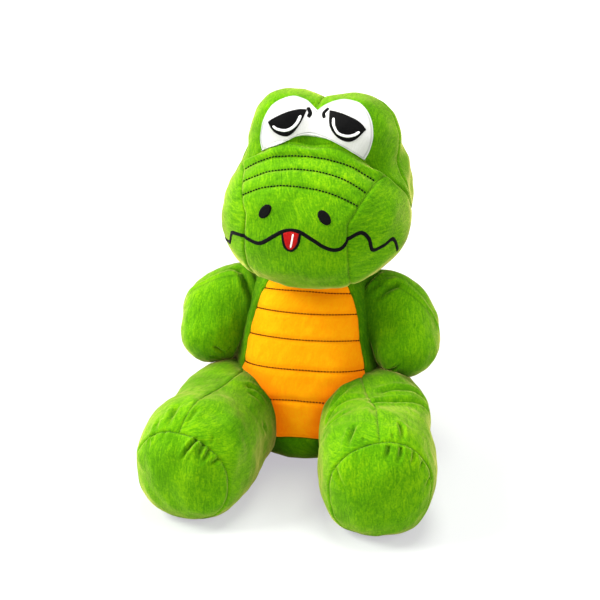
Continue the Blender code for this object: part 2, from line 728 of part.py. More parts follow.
def build_arm(name, side, green, white, body):
    place = SHOULDER * (side, 1, 1)
    front_rows, back_rows = steps(0, ARM_SEAM, 4), steps(ARM_SEAM, 180, 4)
    front = patch(ARM_FRAME, front_rows, RING, arm_place)
    back = patch(ARM_FRAME, back_rows, RING, arm_place)
    stuffing = patch(ARM_FRAME, chain(front_rows, back_rows), RING, arm_place)
    pieces = (
        (f"{name}_arm_front", solid(arm_form, ARM_CENTRE, front, 0, -SKIN), green),
        (f"{name}_arm_back", solid(arm_form, ARM_CENTRE, back, 0, -SKIN), green),
        (f"{name}_arm_stuffing", solid(arm_form, ARM_CENTRE, stuffing, -SKIN - STUFFING_GAP), white),
    )
    for title, mesh, colour in pieces:
        add(title, mesh if side > 0 else flipped(mesh), colour, body, place)


def build_leg(name, side, green, white, body):
    place = HIP * (side, 1, 1)
    sole_rows = steps(0, SOLE_SEAM, 3)
    rows = evenly(SOLE_SEAM, LEG_OPENING, 6, LEG_STRETCH)
    root_rows = evenly(LEG_OPENING, 180, 3, LEG_STRETCH)
    half = len(RING) // 2
    outer = patch(LEG_FRAME, rows, RING[: half + 1], leg_place)
    inner = patch(LEG_FRAME, rows, RING[half:], leg_place)
    sole = patch(LEG_FRAME, sole_rows, RING, leg_place)
    stuffing = patch(LEG_FRAME, chain(sole_rows, rows, root_rows), RING, leg_place)
    pieces = (
        (f"{name}_leg_outer", solid(leg_form, LEG_CENTRE, outer, 0, -SKIN), green),
        (f"{name}_leg_inner", solid(leg_form, LEG_CENTRE, inner, 0, -SKIN), green),
        (f"{name}_sole", solid(leg_form, LEG_CENTRE, sole, 0, -SKIN), green),
        (f"{name}_leg_stuffing", solid(leg_form, LEG_CENTRE, stuffing, -SKIN - STUFFING_GAP), white),
    )
    for title, mesh, colour in pieces:
        add(title, mesh if side > 0 else flipped(mesh), colour, body, place)


def build_tail(green, white, body):
    rows = evenly(0, TAIL_OPENING, 5, TAIL_STRETCH)
    half = len(RING) // 2
    right = patch(TAIL_FRAME, rows, RING[: half + 1])
    left = patch(TAIL_FRAME, rows, RING[half:])
    stuffing = patch(TAIL_FRAME, chain(rows, evenly(TAIL_OPENING, 180, 2, TAIL_STRETCH)), RING)
    add("tail_left", solid(tail_form, TAIL_CENTRE, left, 0, -SKIN), green, body, TAIL)
    add("tail_right", solid(tail_form, TAIL_CENTRE, right, 0, -SKIN), green, body, TAIL)
    add("tail_stuffing", solid(tail_form, TAIL_CENTRE, stuffing, -SKIN - STUFFING_GAP), white, body, TAIL)


def main():
    for thing in list(bpy.data.objects):
        bpy.data.objects.remove(thing)
    green = material("green plush", (0.14, 0.42, 0.01), 0.9)
    orange = material("orange plush", (0.95, 0.45, 0.01), 0.85)
    black = material("black thread", (0.008, 0.008, 0.007), 0.6)
    red = material("red thread", (0.43, 0.013, 0.008), 0.6)
    white = material("white felt", (0.93, 0.94, 0.9), 0.9)
    stuffing = material("stuffing", (0.8, 0.8, 0.78), 1.0)

    torso = pivot("torso", (0, 0, 0))
    neck = pivot("neck", NECK, torso, HEAD_TURN)
    head = pivot("head", (0, 0, 0), neck)
    build_torso(green, orange, black, stuffing, torso)
    build_neck(green, stuffing, neck)
    build_head(green, black, red, white, stuffing, head)
    for name, side in (("left", 1), ("right", -1)):
        build_arm(name, side, green, stuffing, pivot(f"{name}_arm", SHOULDER * (side, 1, 1), torso))
        build_leg(name, side, green, stuffing, pivot(f"{name}_leg", HIP * (side, 1, 1), torso))
    build_tail(green, stuffing, pivot("tail", TAIL, torso))


main()
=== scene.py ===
"""The stuffed crocodile toy as it looks: plush skins, seams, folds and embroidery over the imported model.

The skins are read off the same smooth forms as the solids, at a finer step, and drawn in along their
seams and folds. Metres, +Z up. The toy faces -Y and its left side is at +X.
"""

import math

import bpy
import numpy as np
from mathutils import Matrix, Vector
from mathutils.kdtree import KDTree


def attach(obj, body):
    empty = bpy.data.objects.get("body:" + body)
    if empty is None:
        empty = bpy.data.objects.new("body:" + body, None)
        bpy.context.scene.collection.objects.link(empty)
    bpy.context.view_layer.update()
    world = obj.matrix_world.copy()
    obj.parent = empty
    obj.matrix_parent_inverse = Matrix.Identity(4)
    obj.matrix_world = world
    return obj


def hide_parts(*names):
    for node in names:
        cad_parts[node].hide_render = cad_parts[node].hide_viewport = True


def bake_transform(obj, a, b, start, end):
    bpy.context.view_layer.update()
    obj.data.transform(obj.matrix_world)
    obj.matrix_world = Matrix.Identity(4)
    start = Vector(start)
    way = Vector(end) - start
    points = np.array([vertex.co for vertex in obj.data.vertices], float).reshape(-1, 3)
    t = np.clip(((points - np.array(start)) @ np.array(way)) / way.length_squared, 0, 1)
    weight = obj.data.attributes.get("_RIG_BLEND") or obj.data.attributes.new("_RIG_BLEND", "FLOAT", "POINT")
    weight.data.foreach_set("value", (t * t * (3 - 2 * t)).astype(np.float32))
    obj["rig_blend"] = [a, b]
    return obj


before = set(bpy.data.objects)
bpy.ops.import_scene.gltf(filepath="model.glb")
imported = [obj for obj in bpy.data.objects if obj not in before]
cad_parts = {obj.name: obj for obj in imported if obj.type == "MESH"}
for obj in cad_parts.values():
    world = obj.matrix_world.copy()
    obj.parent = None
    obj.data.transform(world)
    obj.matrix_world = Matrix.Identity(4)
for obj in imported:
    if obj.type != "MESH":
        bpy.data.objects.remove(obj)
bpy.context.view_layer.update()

# The camera, as the photograph was taken
CAMERA_TURN = 9.3
CAMERA_RISE = 26.0
CAMERA_AWAY = 1.40
CAMERA_AIM = (0, -0.03, 0.13)
CAMERA_LENS = 101.2
CAMERA_FILM = 36
CAMERA_CLIP = (0.05, 50)
CAMERA_SHIFT = (-0.005, 0.033)

# Cloth and thread
SKIN = 0.0012
EMBED = 0.002
ARM_REST = 0.0006
NECK_GAP = 0.0005
TORSO_GAP = 0.0016
SEAT_MELT = 0.0012
SEAT_SINK = 0.003

# The torso
HIPS_WIDTH = 0.118
HIPS_DEPTH = 0.108
HIPS_HEIGHT = 0.106
HIPS_POWER = 2.8
BELLY_WIDTH = 0.116
BELLY_DEPTH = 0.096
CHEST_WIDTH = 0.110
CHEST_DEPTH = 0.088
CHEST_HEIGHT = 0.092
CHEST_BACK = 0.022
TORSO_HEIGHT = 0.172
TORSO_MELT = 0.010
NECK_WIDTH = 0.058
NECK_SINK = 0.004

# The head
MUZZLE_WIDTH = 0.149
MUZZLE_DEPTH = 0.138
MUZZLE_HEIGHT = 0.112
MUZZLE_POWER = 2.3
MUZZLE_FORWARD = 0.014
CHIN_SINK = 0.009
CROWN_WIDTH = 0.147
CROWN_DEPTH = 0.112
CROWN_HEIGHT = 0.116
CROWN_BACK = 0.038
CROWN_RISE = 0.014
EYE_BUMP_SIZE = 0.070
EYE_BUMP_POWER = 2.2
EYE_SPACING = 0.050
EYE_BUMP_BACK = 0.022
EYE_BUMP_RISE = 0.0605
HEAD_MELT = 0.005
HEAD_TURN = -5.7
HEAD_SIDE = 0.0105
HEAD_TURNS = (-20, 0, 20)
HEAD_NODS = (-8, 0, 8)

# The arms
ARM_WIDTH = 0.056
ARM_DEPTH = 0.050
SHOULDER_WIDTH = 0.054
ELBOW_OUT = 0.0265
ELBOW_DROP = 0.013
HAND_OUT = 0.0278
HAND_FORWARD = 0.026
HAND_DROP = 0.027
HAND_WIDTH = 0.052
ARM_MELT = 0.009

# The legs
HIP_SPACING = 0.104
THIGH_WIDTH = 0.086
FOOT_WIDTH = 0.092
LEG_REACH = 0.170
LEG_SPLAY = 10.6
THIGH_LENGTH_SHARE = 0.92
THIGH_PLACE_SHARE = 0.30
THIGH_POWER = 2.4
FOOT_POWER = 2.4
LEG_MELT = 0.010

# The tail
TAIL_WIDTH = 0.046
TAIL_HEIGHT = 0.050
TAIL_LENGTH = 0.080
TAIL_TIP_SHARE = 0.5

# Seams, in degrees, as on the solids, where BASE_SEAM_SHOWN and LEG_CLOSED are the skins' own
CREASE_SEAM = 60.5
CROWN_SEAM = 102
CROWN_LEAN = 18
CREASE_DROP = 4
CREASE_DROP_BY = 0.6
THROAT_SEAM = -84
NAPE_SEAM = -142
MIDDLE_SEAM_FROM = 84
STRIP_FLARE_FROM = 8
STRIP_NARROW = 28
STRIP_WIDE = 57
BASE_SEAM = 42
BASE_SEAM_SHOWN = 49
NECK_SEAM = 157
SLEEVE_REACH = 40
BELLY_NARROW = 46
BELLY_WIDE = 66
ARM_SEAM = 90
ARM_SEAM_SHIFT = 50
ARM_SEAM_SHIFT_AT = -122
ARM_SEAM_SHIFT_WIDTH = 62
SOLE_SEAM = 34
LEG_OPENING = 158
LEG_CLOSED = 178
LEG_SEAM_LEAN = 14
LEG_SEAM_LEAN_FROM = 80
TAIL_OPENING = 150

# Lines of stitches, in degrees, as on the solids
BELLY_LINES = ((155, 10), (140, 9), (119, 8), (94, 5), (72, 1))
BELLY_LINE_SHARES = (0.97, 0.97, 0.97, 0.97, 0.6)
MUZZLE_LINES = ((51.5, 9), (39.8, 10.5), (27.4, 8))
LINE_SHARE = 0.97
LINE_DROP_POWER = 2.5

# Outlines on the face, as degrees across and round
LEFT_PATCH_EDGE = (
    ((1, 79.7), (5.5, 82.6), (10.1, 84.3), (14.8, 85.3), (19.5, 84.8), (24.2, 82.5), (28.5, 78.6),
     (32.7, 73.5), (35.9, 68.4), (38.4, 63.3), (38.9, 58)),
    ((38.9, 58), (33.2, 58.2), (26.1, 59.2), (17.6, 61.4), (9.1, 64.2), (2.1, 66.2)),
)
RIGHT_PATCH_EDGE = (
    ((2.1, 66.2), (-3.5, 66), (-10.2, 63.8), (-17.2, 60.6), (-26.2, 58), (-37.6, 57.2)),
    ((-37.6, 57.2), (-36.6, 62), (-33, 66.3), (-29, 70.4), (-25.8, 74.6), (-22.6, 78.6), (-18.2, 81.9),
     (-13.3, 84.3), (-8.3, 84.2), (-3.8, 82.5), (1, 79.7)),
)
LEFT_EYE_EDGE = (
    ((8, 78), (14.3, 76), (20.1, 74.3), (25.4, 72.9), (29.8, 71)),
    ((29.8, 71), (27.5, 65.4), (23.9, 63), (18.4, 63.5), (13, 66.4), (9.5, 70.9), (8, 78)),
)
RIGHT_EYE_EDGE = (
    ((-4.8, 78.4), (-7.9, 77.4), (-12.9, 75), (-19.3, 72.1), (-25.8, 69.2)),
    ((-25.8, 69.2), (-24.4, 65.2), (-21, 63.1), (-16.1, 62.8), (-11.6, 65.2), (-8.3, 69), (-6.2, 73.2),
     (-4.8, 78.4)),
)
LEFT_GLINT = ((11.6, 73.6), (12.9, 69.8), (16.4, 66.5), (21.4, 65.6), (25.1, 66.8), (27.2, 69))
RIGHT_GLINT = ((-7.7, 74.2), (-9.3, 70.4), (-12.3, 67.3), (-16.3, 65.6), (-20.8, 65.9), (-23.2, 67.4))
LEFT_TICK = ((7.3, 79.4), (5.2, 77.3), (6.2, 74.3))
RIGHT_TICK = ((-4.7, 79.6), (-3, 77.4), (-3.8, 74.6))
MOUTH_LINE = (
    (-57, -30), (-53, -27), (-49, -24), (-45, -20.5), (-41, -17.2), (-39.2, -9.5), (-36.4, -6.4), (-29.4, -5),
    (-21.1, -6.1), (-16.5, -5.2), (-9.8, -0.3), (-5.2, 2.7), (-0.6, 3.9), (4.3, 3.4), (11, -0.4), (16, -3.9),
    (21, -6), (25.4, -5), (29, -0.1), (35.4, 2.7), (39.6, -1.8), (41.6, -11), (48, -11.6), (55.6, -11.5),
    (58, -30),
)
EYE_PATCH_MIDDLE = (0, 72.5)
LEFT_EYE_MIDDLE = (18.5, 69.6)
RIGHT_EYE_MIDDLE = (-14.5, 68.6)
NOSTRIL_AT = (16.1, 11.8)
NOSTRIL_LEAN = 38
NOSTRIL_WIDTH = 0.0088
NOSTRIL_HEIGHT = 0.0138
TONGUE_MIDDLE = (-0.7, -2)
TONGUE_TOP = ((3.8, 2.9), (-0.6, 3.8), (-5, 2.2))
TONGUE_UNDER = ((-5, 2.2), (-4.3, -2.4), (-3.1, -5.6), (-0.8, -6.8), (1.5, -5.2), (3.1, -2), (3.8, 2.9))
TONGUE_MARK = ((0.8, 2.6), (-0.1, -1.6), (-1, -5.4))
MOUTH_WIDTH = 0.00336
TONGUE_LINE_WIDTH = 0.0030
TONGUE_MARK_WIDTH = 0.0022
GLINT_WIDTH = 0.00275
TICK_WIDTH = 0.0042

# Embroidery over the cloth: how high the thread stands, and how far its underside lies above the skin
FELT_HEIGHT = 0.0014
FELT_LIFT = 0.0003
FELT_RIM = 0.0022
FELT_TOP = 0.0017
ON_FELT = FELT_TOP - 0.0002
THREAD_HEIGHT = 0.0008
NOSTRIL_LIFT = 0.0002
GLINT_HEIGHT = 0.0005
GLINT_LIFT = FELT_TOP + 0.0006
MOUTH_HEIGHT = 0.0009
TONGUE_HEIGHT = 0.0007
TONGUE_LINE_LIFT = 0.0001
TONGUE_MARK_HEIGHT = 0.0006
TONGUE_MARK_LIFT = 0.0005
THREAD_SINK = 0.0003
PATCH_SINK = 0.0006
PATCH_BACKING = 0.0008
PATCH_ROUND = 1.4
RING_CROWDING = 1.7
RIM_RISE = 0.0004
RIM_GROOVE = 0.0003
GROOVE_AT = 1.15

# How the skins are drawn in at seams, and how the muzzle stands out over its crease
SEAM_DEPTH = 0.0014
SEAM_WIDTH = 0.0034
SEAM_SHADE = 0.0008
CREASE_DEPTH = 0.0028
CREASE_WIDTH = 0.0040
LEDGE_RISE = 0.0020
LEDGE_SINK = 0.0036
LEDGE_ENDS_AT = 66
LEDGE_FADE = 16
LEDGE_PLUMP = 5
LEDGE_EDGE = 0.8
LEDGE_DIP = 9
LEDGE_DIP_FROM = 1.5
WELT = 0.0009
QUILT_DEPTH = 0.0011
QUILT_WIDTH = 0.0038

# Places where the stuffing fills a form out more, or less: from its pole, round it, how far, and how high
HEAD_FULL = (
    (44, 110, 19, 0.0036),
    (30, 118, 9, 0.0016),
    (17, 128, 16, -0.0026),
    (10, 140, 14, -0.0018),
    (12, -4, 24, 0.0046),
    (130, 80, 15, -0.0022),
)
TORSO_FULL = ((36, 0, 22, 0.0033),)
LEFT_ARM_FULL = ((86, 54, 42, -0.0056), (98, -14, 20, 0.0042))
RIGHT_ARM_FULL = ((98, 24, 22, -0.0022),)
LEFT_LEG_FULL = (
    (134, 50, 32, 0.0070),
    (100, 50, 26, 0.0040),
    (36, -98, 30, -0.0020),
    (30, 110, 22, -0.0010),
    (74, 48, 20, 0.0014),
)
RIGHT_LEG_FULL = ((20, 110, 30, -0.0028), (128, 50, 26, 0.0022), (48, 45, 22, -0.0028))

# Painted shade: how dark the pile is painted down in seams, welts, quilting and folds
SEAM_DARK = 0.4
WELT_DARK = 0.5
QUILT_DARK = 0.25
FOLD_DARK = 0.8

# A fold: how fast it opens and closes along its length, and how high its edges stand
FOLD_START = 12
FOLD_OPEN = 0.3
FOLD_END = 1.6
FOLD_RIDGE = 0.4

# Painted shade where one form lies close to another: how dark it is painted, and how far from it
SHADE = 0.75
SHADE_REACH = 0.010

# Folds and tucks, in degrees from each limb's pole and round it, with how deep and how wide each is
RIGHT_ARM_FOLDS = (
    (((16.1, -149.9), (24.5, -144.4), (35.3, -146.9)), 0.0022, 0.0016),
    (((32.9, -125.2), (31.8, -139.7)), 0.0018, 0.0014),
    (((28.8, -176.9), (33.0, -162.4), (44.5, -153.6)), 0.0012, 0.0014),
    (((92, -20), (85.7, -27.4), (72.1, -42.7), (63.1, -66.9)), 0.0040, 0.0036),
)
LEFT_ARM_FOLDS = (
    (((37, -148), (31, -157), (20, -172), (14, -188)), 0.0022, 0.0016),
    (((98, -29), (86.2, -38.5), (75.5, -49.5)), 0.0034, 0.0030),
    (((86, -10), (80.0, -17.8), (72.0, -29.8), (67.2, -43.1)), 0.0034, 0.0032),
)
RIGHT_LEG_FOLDS = (
    (((32.8, -22.9), (27.7, -20.4), (23.5, -18.2), (17.5, -17.0)), 0.0034, 0.0020),
    (((33, -31.5), (26.7, -34.9), (22.0, -46.5)), 0.0026, 0.0026),
    (((32.5, -40.0), (28.5, -42.7), (23.7, -46.8)), 0.0026, 0.0019),
    (((33, -55.0), (29.5, -54.2), (25.7, -54.2)), 0.0024, 0.0022),
    (((34, 34.8), (30.6, 39.0), (26.4, 41.4)), 0.0012, 0.0020),
    (((34, 31.2), (28.3, 32.7)), 0.0010, 0.0018),
    (((34, 17.1), (26.7, 15.7)), 0.0010, 0.0022),
    (((54, 16.5), (47.4, 15.7), (40.6, 14.9), (34.0, 14.0)), 0.0024, 0.0030),
    (((43, 29.4), (34.5, 29.6)), 0.0014, 0.0026),
    (((52, -6), (42, -5), (34.5, -6.0)), 0.0014, 0.0030),
    (((40, -34.3), (34.4, -38.3)), 0.0012, 0.0018),
    (((124, -28), (125.7, -33.2), (127.8, -47.7), (126.6, -60)), 0.0028, 0.0026),
    (((118, -36), (119, -46), (117, -56)), 0.0014, 0.0024),
    (((102.7, -69.5), (109.6, -83.2)), 0.0016, 0.0030),
)
LEFT_LEG_FOLDS = (
    (((118, -50), (121.0, -42.3), (130.8, -29.1), (138.0, -14.3)), 0.0022, 0.0034),
    (((100, -58), (106.2, -48.8), (112.8, -38.0), (115.1, -24.7), (111.8, -10)), 0.0030, 0.0038),
    (((98, -4), (99, 8), (104, 28.3), (109.3, 47.2), (111, 68), (108, 88)), 0.0030, 0.0036),
    (((70, -66), (75.6, -56.3), (79.6, -43.5), (83.7, -32.4), (83.0, -18)), 0.0022, 0.0036),
    (((118, 8), (121.3, 15.1), (124.4, 37.0), (125, 58), (122, 76)), 0.0024, 0.0034),
    (((35, 9.4), (31.0, 8.6), (26.9, 7.0)), 0.0026, 0.0020),
    (((36, 21.9), (31.4, 22.2), (25.8, 21.7)), 0.0030, 0.0021),
    (((36, 35.7), (32.3, 37.4), (27.3, 38.2)), 0.0026, 0.0020),
    (((34.5, 49.0), (29.1, 51.8)), 0.0018, 0.0020),
    (((34, 70), (28, 74)), 0.0014, 0.0022),
    (((34, -25.4), (26.9, -28.3)), 0.0012, 0.0024),
    (((33.5, -54.8), (24.1, -63.9), (20.2, -69.0)), 0.0014, 0.0030),
    (((54, -23), (50.1, -24.5), (43.9, -29.0), (38.3, -31.9), (35.0, -31.0)), 0.0028, 0.0028),
    (((54, 20), (50.6, 20.7), (42.9, 21.5), (38, 22.1)), 0.0028, 0.0024),
    (((43, 12.6), (37.8, 13.8)), 0.0012, 0.0016),
    (((42, -15), (36.4, -17)), 0.0010, 0.0016),
    (((78.3, -2.9), (64, -4.1)), 0.0012, 0.0034),
)

# Where each sole's seam runs a little higher or lower: by how much, and at which side of the foot
SOLE_RISE = {1: (3.5, 22), -1: (-1.5, -20)}
SOLE_RISE_WIDTH = 45

# Rows of machine stitching: pitch, length and width of a stitch, and how high it lies over the skin
DASHES = (0.0026, 0.0020, 0.0012)
DASH_LIFT = 0.0005
DOTS = (0.0024, 0.0012, 0.0007)
DOT_LIFT = -0.0002

# The stuffing under the skins
FILLING_DEPTH = 0.0070
FILLING_LUMP = 0.0006
FILLING_LUMP_MOST = 0.0004
FILLING_LUMP_LENGTH = 0.011

# Unevenness of the skins, and how they ease to the floor
LUMP = 0.0007
NECK_LUMP = 0.0
LEG_LUMP = 0.0008
TAIL_LUMP = 0.0006
LUMP_LENGTH = 0.034
SMALL_LUMP_LENGTH = 0.013
SMALL_LUMP_SHARE = 0.3
WAVES = 9
WAVE_SPREAD = (0.7, 1.5)
FLOOR_EASE = 0.006

# How a form is measured
RAY_STEPS = 44
HALVINGS = 13
REACH = TORSO_HEIGHT
RAYS_AT_ONCE = 3000
SLOPE_STEP = 0.0004
LINE_STEP = 0.0005
# The fold depth at which a fold's painted shade is at its darkest
DARK_FOLD_DEPTH = 0.003

# Where the skins bend between the torso and a limb
ARM_BEND_FROM = (0.002, 0, 0)
ARM_BEND_TO = (0.030, 0, -0.004)
LEG_BEND_FROM = 0.030
LEG_BEND_LENGTH = 0.045
TAIL_BEND_FROM = (0, 0.014, 0)
TAIL_BEND_TO = (0, 0.034, 0)

X_AXIS, Y_AXIS, Z_AXIS = np.eye(3)
FRONT, BACK, UP, DOWN = -Y_AXIS, Y_AXIS, Z_AXIS, -Z_AXIS

HIPS = np.array((0, 0, HIPS_HEIGHT / 2 - SEAT_SINK))
CHEST = np.array((0, CHEST_BACK, TORSO_HEIGHT - CHEST_HEIGHT / 2))
NECK = np.array((HEAD_SIDE, CHEST_BACK, TORSO_HEIGHT - NECK_SINK))
MUZZLE = np.array((HEAD_SIDE, -MUZZLE_FORWARD, TORSO_HEIGHT - CHIN_SINK + MUZZLE_HEIGHT / 2))
CROWN = MUZZLE + (0, CROWN_BACK, CROWN_RISE)
EYE_BUMP = MUZZLE + (0, EYE_BUMP_BACK, EYE_BUMP_RISE)
HEAD_CENTRE = (MUZZLE + CROWN) / 2
SHOULDER = CHEST + (CHEST_WIDTH / 2, 0, 0)
ELBOW = SHOULDER + (ELBOW_OUT, 0, -ELBOW_DROP)
HAND = SHOULDER + (HAND_OUT, -HAND_FORWARD, -HAND_DROP)
HIP = HIPS + (HIP_SPACING / 2, 0, 0)


def ellipsoid(centre, sizes, power=2.0, axes=np.eye(3)):
    """A form: a function of points that is close to their distance outside the surface."""
    radii = np.array(sizes) / 2

    def form(points):
        shares = np.abs((points - centre) @ axes) / radii
        if power == 2.0:
            near = np.maximum(np.sqrt((shares * shares).sum(axis=-1)), 1e-6)
            slope = np.linalg.norm(shares / near[..., None] / radii, axis=-1)
        else:
            near = np.maximum((shares**power).sum(axis=-1) ** (1 / power), 1e-6)
            slope = np.linalg.norm((shares / near[..., None]) ** (power - 1) / radii, axis=-1)
        return (near - 1) / np.maximum(slope, 1e-6)

    return form


def melted(forms, melt):
    """The union of forms, filled to about the melt where they meet."""

    def form(points):
        values = np.stack([each(points) for each in forms]) / melt
        least = values.min(axis=0)
        return melt * (least - np.log(np.exp(least - values).sum(axis=0)))

    return form


def rotation(axis, degrees):
    return np.array(Matrix.Rotation(math.radians(degrees), 3, Vector(axis)))


def turned(form, pivot, turn):
    return lambda points: form((points - pivot) @ turn + pivot)


def without(form, cutter, clearance):
    return lambda points: np.maximum(form(points), clearance - cutter(points))


def seated(form):
    """The form resting on the floor, with a rounded edge to its flat underside."""

    def resting(points):
        inside, below = form(points), -points[..., 2]
        apart = np.abs(inside - below) / SEAT_MELT
        return np.maximum(inside, below) + SEAT_MELT * np.log1p(np.exp(-apart))

    return resting


def steps(first, last, count):
    return np.linspace(first, last, count + 1)


def along_row(row, first, last, count):
    """Steps along one row, from one column to another."""
    return np.full(count + 1, float(row)), steps(first, last, count)


def along_column(first, last, count, column):
    """Steps along one column, from one row to another."""
    return steps(first, last, count), np.full(count + 1, float(column))


def crowded(first, last, count, share=0.75):
    """Steps that lie closer together near both ends, where the seams are."""
    even = np.linspace(0, 1, count + 1)
    return first + (last - first) * (even - share * np.sin(2 * math.pi * even) / (2 * math.pi))


hips_form = ellipsoid(HIPS, (HIPS_WIDTH, HIPS_DEPTH, HIPS_HEIGHT), HIPS_POWER)
chest_form = ellipsoid(CHEST, (CHEST_WIDTH, CHEST_DEPTH, CHEST_HEIGHT))
neck_form = ellipsoid(NECK, (NECK_WIDTH, NECK_WIDTH, NECK_WIDTH))
belly_form = ellipsoid((HIPS + CHEST) / 2, (BELLY_WIDTH, BELLY_DEPTH, BELLY_WIDTH))
whole_torso = melted([hips_form, belly_form, chest_form], TORSO_MELT)


def bump_form(side):
    centre = EYE_BUMP + (side * EYE_SPACING / 2, 0, 0)
    return ellipsoid(centre, (EYE_BUMP_SIZE, EYE_BUMP_SIZE, EYE_BUMP_SIZE), EYE_BUMP_POWER)


whole_head = melted(
    [
        ellipsoid(MUZZLE, (MUZZLE_WIDTH, MUZZLE_DEPTH, MUZZLE_HEIGHT), MUZZLE_POWER),
        ellipsoid(CROWN, (CROWN_WIDTH, CROWN_DEPTH, CROWN_HEIGHT)),
        bump_form(1),
        bump_form(-1),
    ],
    HEAD_MELT,
)
head_form = without(whole_head, neck_form, NECK_GAP)
head_turn = rotation(Z_AXIS, HEAD_TURN)


def head_passes(points):
    """How far points near the collar are from the head as it nods and turns."""
    result = np.ones(points.shape[:-1])
    near = points[..., 2] > TORSO_HEIGHT - CHEST_HEIGHT / 2
    for turn in HEAD_TURNS:
        for nod in HEAD_NODS:
            pose = rotation(Z_AXIS, HEAD_TURN + turn) @ rotation(X_AXIS, nod)
            result[near] = np.minimum(result[near], turned(whole_head, NECK, pose)(points[near]))
    return result


torso_form = seated(without(without(whole_torso, head_passes, TORSO_GAP), neck_form, NECK_GAP))

splay = rotation(Z_AXIS, LEG_SPLAY)
foot_way = splay @ FRONT
thigh_centre = HIP + foot_way * LEG_REACH * THIGH_PLACE_SHARE + (0, 0, THIGH_WIDTH / 2 - SEAT_SINK - HIP[2])
thigh_sizes = (THIGH_WIDTH, LEG_REACH * THIGH_LENGTH_SHARE, THIGH_WIDTH)
foot_centre = HIP + foot_way * (LEG_REACH - FOOT_WIDTH / 2) + (0, 0, FOOT_WIDTH / 2 - SEAT_SINK - HIP[2])
whole_leg = melted(
    [
        ellipsoid(thigh_centre, thigh_sizes, THIGH_POWER, splay),
        ellipsoid(foot_centre, (FOOT_WIDTH, FOOT_WIDTH, FOOT_WIDTH), FOOT_POWER, splay),
    ],
    LEG_MELT,
)
leg_form = seated(without(whole_leg, whole_torso, -EMBED))

whole_arm = melted(
    [
        ellipsoid(SHOULDER, (SHOULDER_WIDTH, SHOULDER_WIDTH, SHOULDER_WIDTH)),
        ellipsoid(ELBOW, (ARM_WIDTH, ARM_DEPTH, ARM_WIDTH)),
        ellipsoid(HAND, (HAND_WIDTH, HAND_WIDTH, HAND_WIDTH)),
    ],
    ARM_MELT,
)
arm_form = without(without(whole_arm, whole_torso, -EMBED), whole_leg, ARM_REST)


def sided(side):
    """Points of a left limb, or mirrored for a right one."""
    return lambda points: points * (side, 1, 1)


def both_sides(form):
    return lambda points: np.minimum(form(points), form(points * (-1, 1, 1)))


head_at_rest = turned(whole_head, NECK, head_turn)

TAIL = np.array((0, HIPS_DEPTH / 2 - TAIL_WIDTH / 3, TAIL_HEIGHT / 2 - SEAT_SINK))
tail_tip_sizes = np.array((TAIL_WIDTH, TAIL_LENGTH, TAIL_HEIGHT)) * TAIL_TIP_SHARE
tail_tip = np.array((0, TAIL[1] + TAIL_LENGTH, tail_tip_sizes[2] / 2 - SEAT_SINK))
whole_tail = melted(
    [
        ellipsoid(TAIL + (0, TAIL_LENGTH / 4, 0), (TAIL_WIDTH, TAIL_LENGTH, TAIL_HEIGHT)),
        ellipsoid(tail_tip, tail_tip_sizes),
    ],
    LEG_MELT,
)
tail_form = seated(without(whole_tail, whole_torso, -EMBED))

TORSO_CENTRE = (HIPS + CHEST) / 2
ARM_CENTRE = (ELBOW * 2 + HAND) / 3
LEG_CENTRE = (thigh_centre + foot_centre) / 2
TAIL_CENTRE = TAIL + (0, TAIL_LENGTH / 3, 0)

HEAD_FRAME = (X_AXIS, FRONT, UP)
TORSO_FRAME = (DOWN, FRONT, X_AXIS)
ARM_FRAME = (FRONT, UP, X_AXIS)
LEG_FRAME = (foot_way, UP, splay @ X_AXIS)
TAIL_FRAME = (BACK, UP, -X_AXIS)
LEG_STRETCH = LEG_REACH / FOOT_WIDTH
TAIL_STRETCH = TAIL_LENGTH / TAIL_WIDTH


def first_hits(form, centre, directions):
    """How far each ray runs from the centre before it leaves the form."""
    radii = np.linspace(0, REACH, RAY_STEPS)
    found = []
    for some in np.array_split(directions, len(directions) // RAYS_AT_ONCE + 1):
        first = (form(centre + some[:, None] * radii[:, None]) > 0).argmax(axis=1)
        low, high = radii[first - 1], radii[first]
        for _ in range(HALVINGS):
            middle = (low + high) / 2
            out = form(centre + some * middle[:, None]) > 0
            low, high = np.where(out, low, middle), np.where(out, middle, high)
        found.append(middle)
    return np.concatenate(found)


def ways(axes, polar, around):
    """Directions at angles from a frame's pole and round it."""
    pole, zero, side = axes
    polar, around = np.radians(polar)[..., None], np.radians(around)[..., None]
    return np.cos(polar) * pole + np.sin(polar) * (np.cos(around) * zero + np.sin(around) * side)


def ripple(points, length, seed):
    """A gentle unevenness over points, about one wavelength of the length apart, from -1 to 1 or so."""
    chance = np.random.default_rng(seed)
    total = np.zeros(len(points))
    for _ in range(WAVES):
        way = chance.normal(size=3)
        way *= 2 * math.pi / (length * chance.uniform(*WAVE_SPREAD)) / np.linalg.norm(way)
        total += np.sin(points @ way + chance.uniform(0, 2 * math.pi))
    return total / math.sqrt(WAVES)


def hill(away, sharpness=1):
    """A smooth profile: 1 in its middle, and down to nothing on both sides."""
    return np.exp(-(away**2) * sharpness)


def lengths(points):
    """How far along a line each of its points lies."""
    return np.concatenate(([0], np.cumsum(np.linalg.norm(np.diff(points, axis=0), axis=1))))


def unit(vectors):
    return vectors / np.maximum(np.linalg.norm(vectors, axis=1), 1e-9)[:, None]


def turn_from(column, at, width):
    """How many widths round the pole a column is from a place."""
    return ((column - at + 180) % 360 - 180) / width


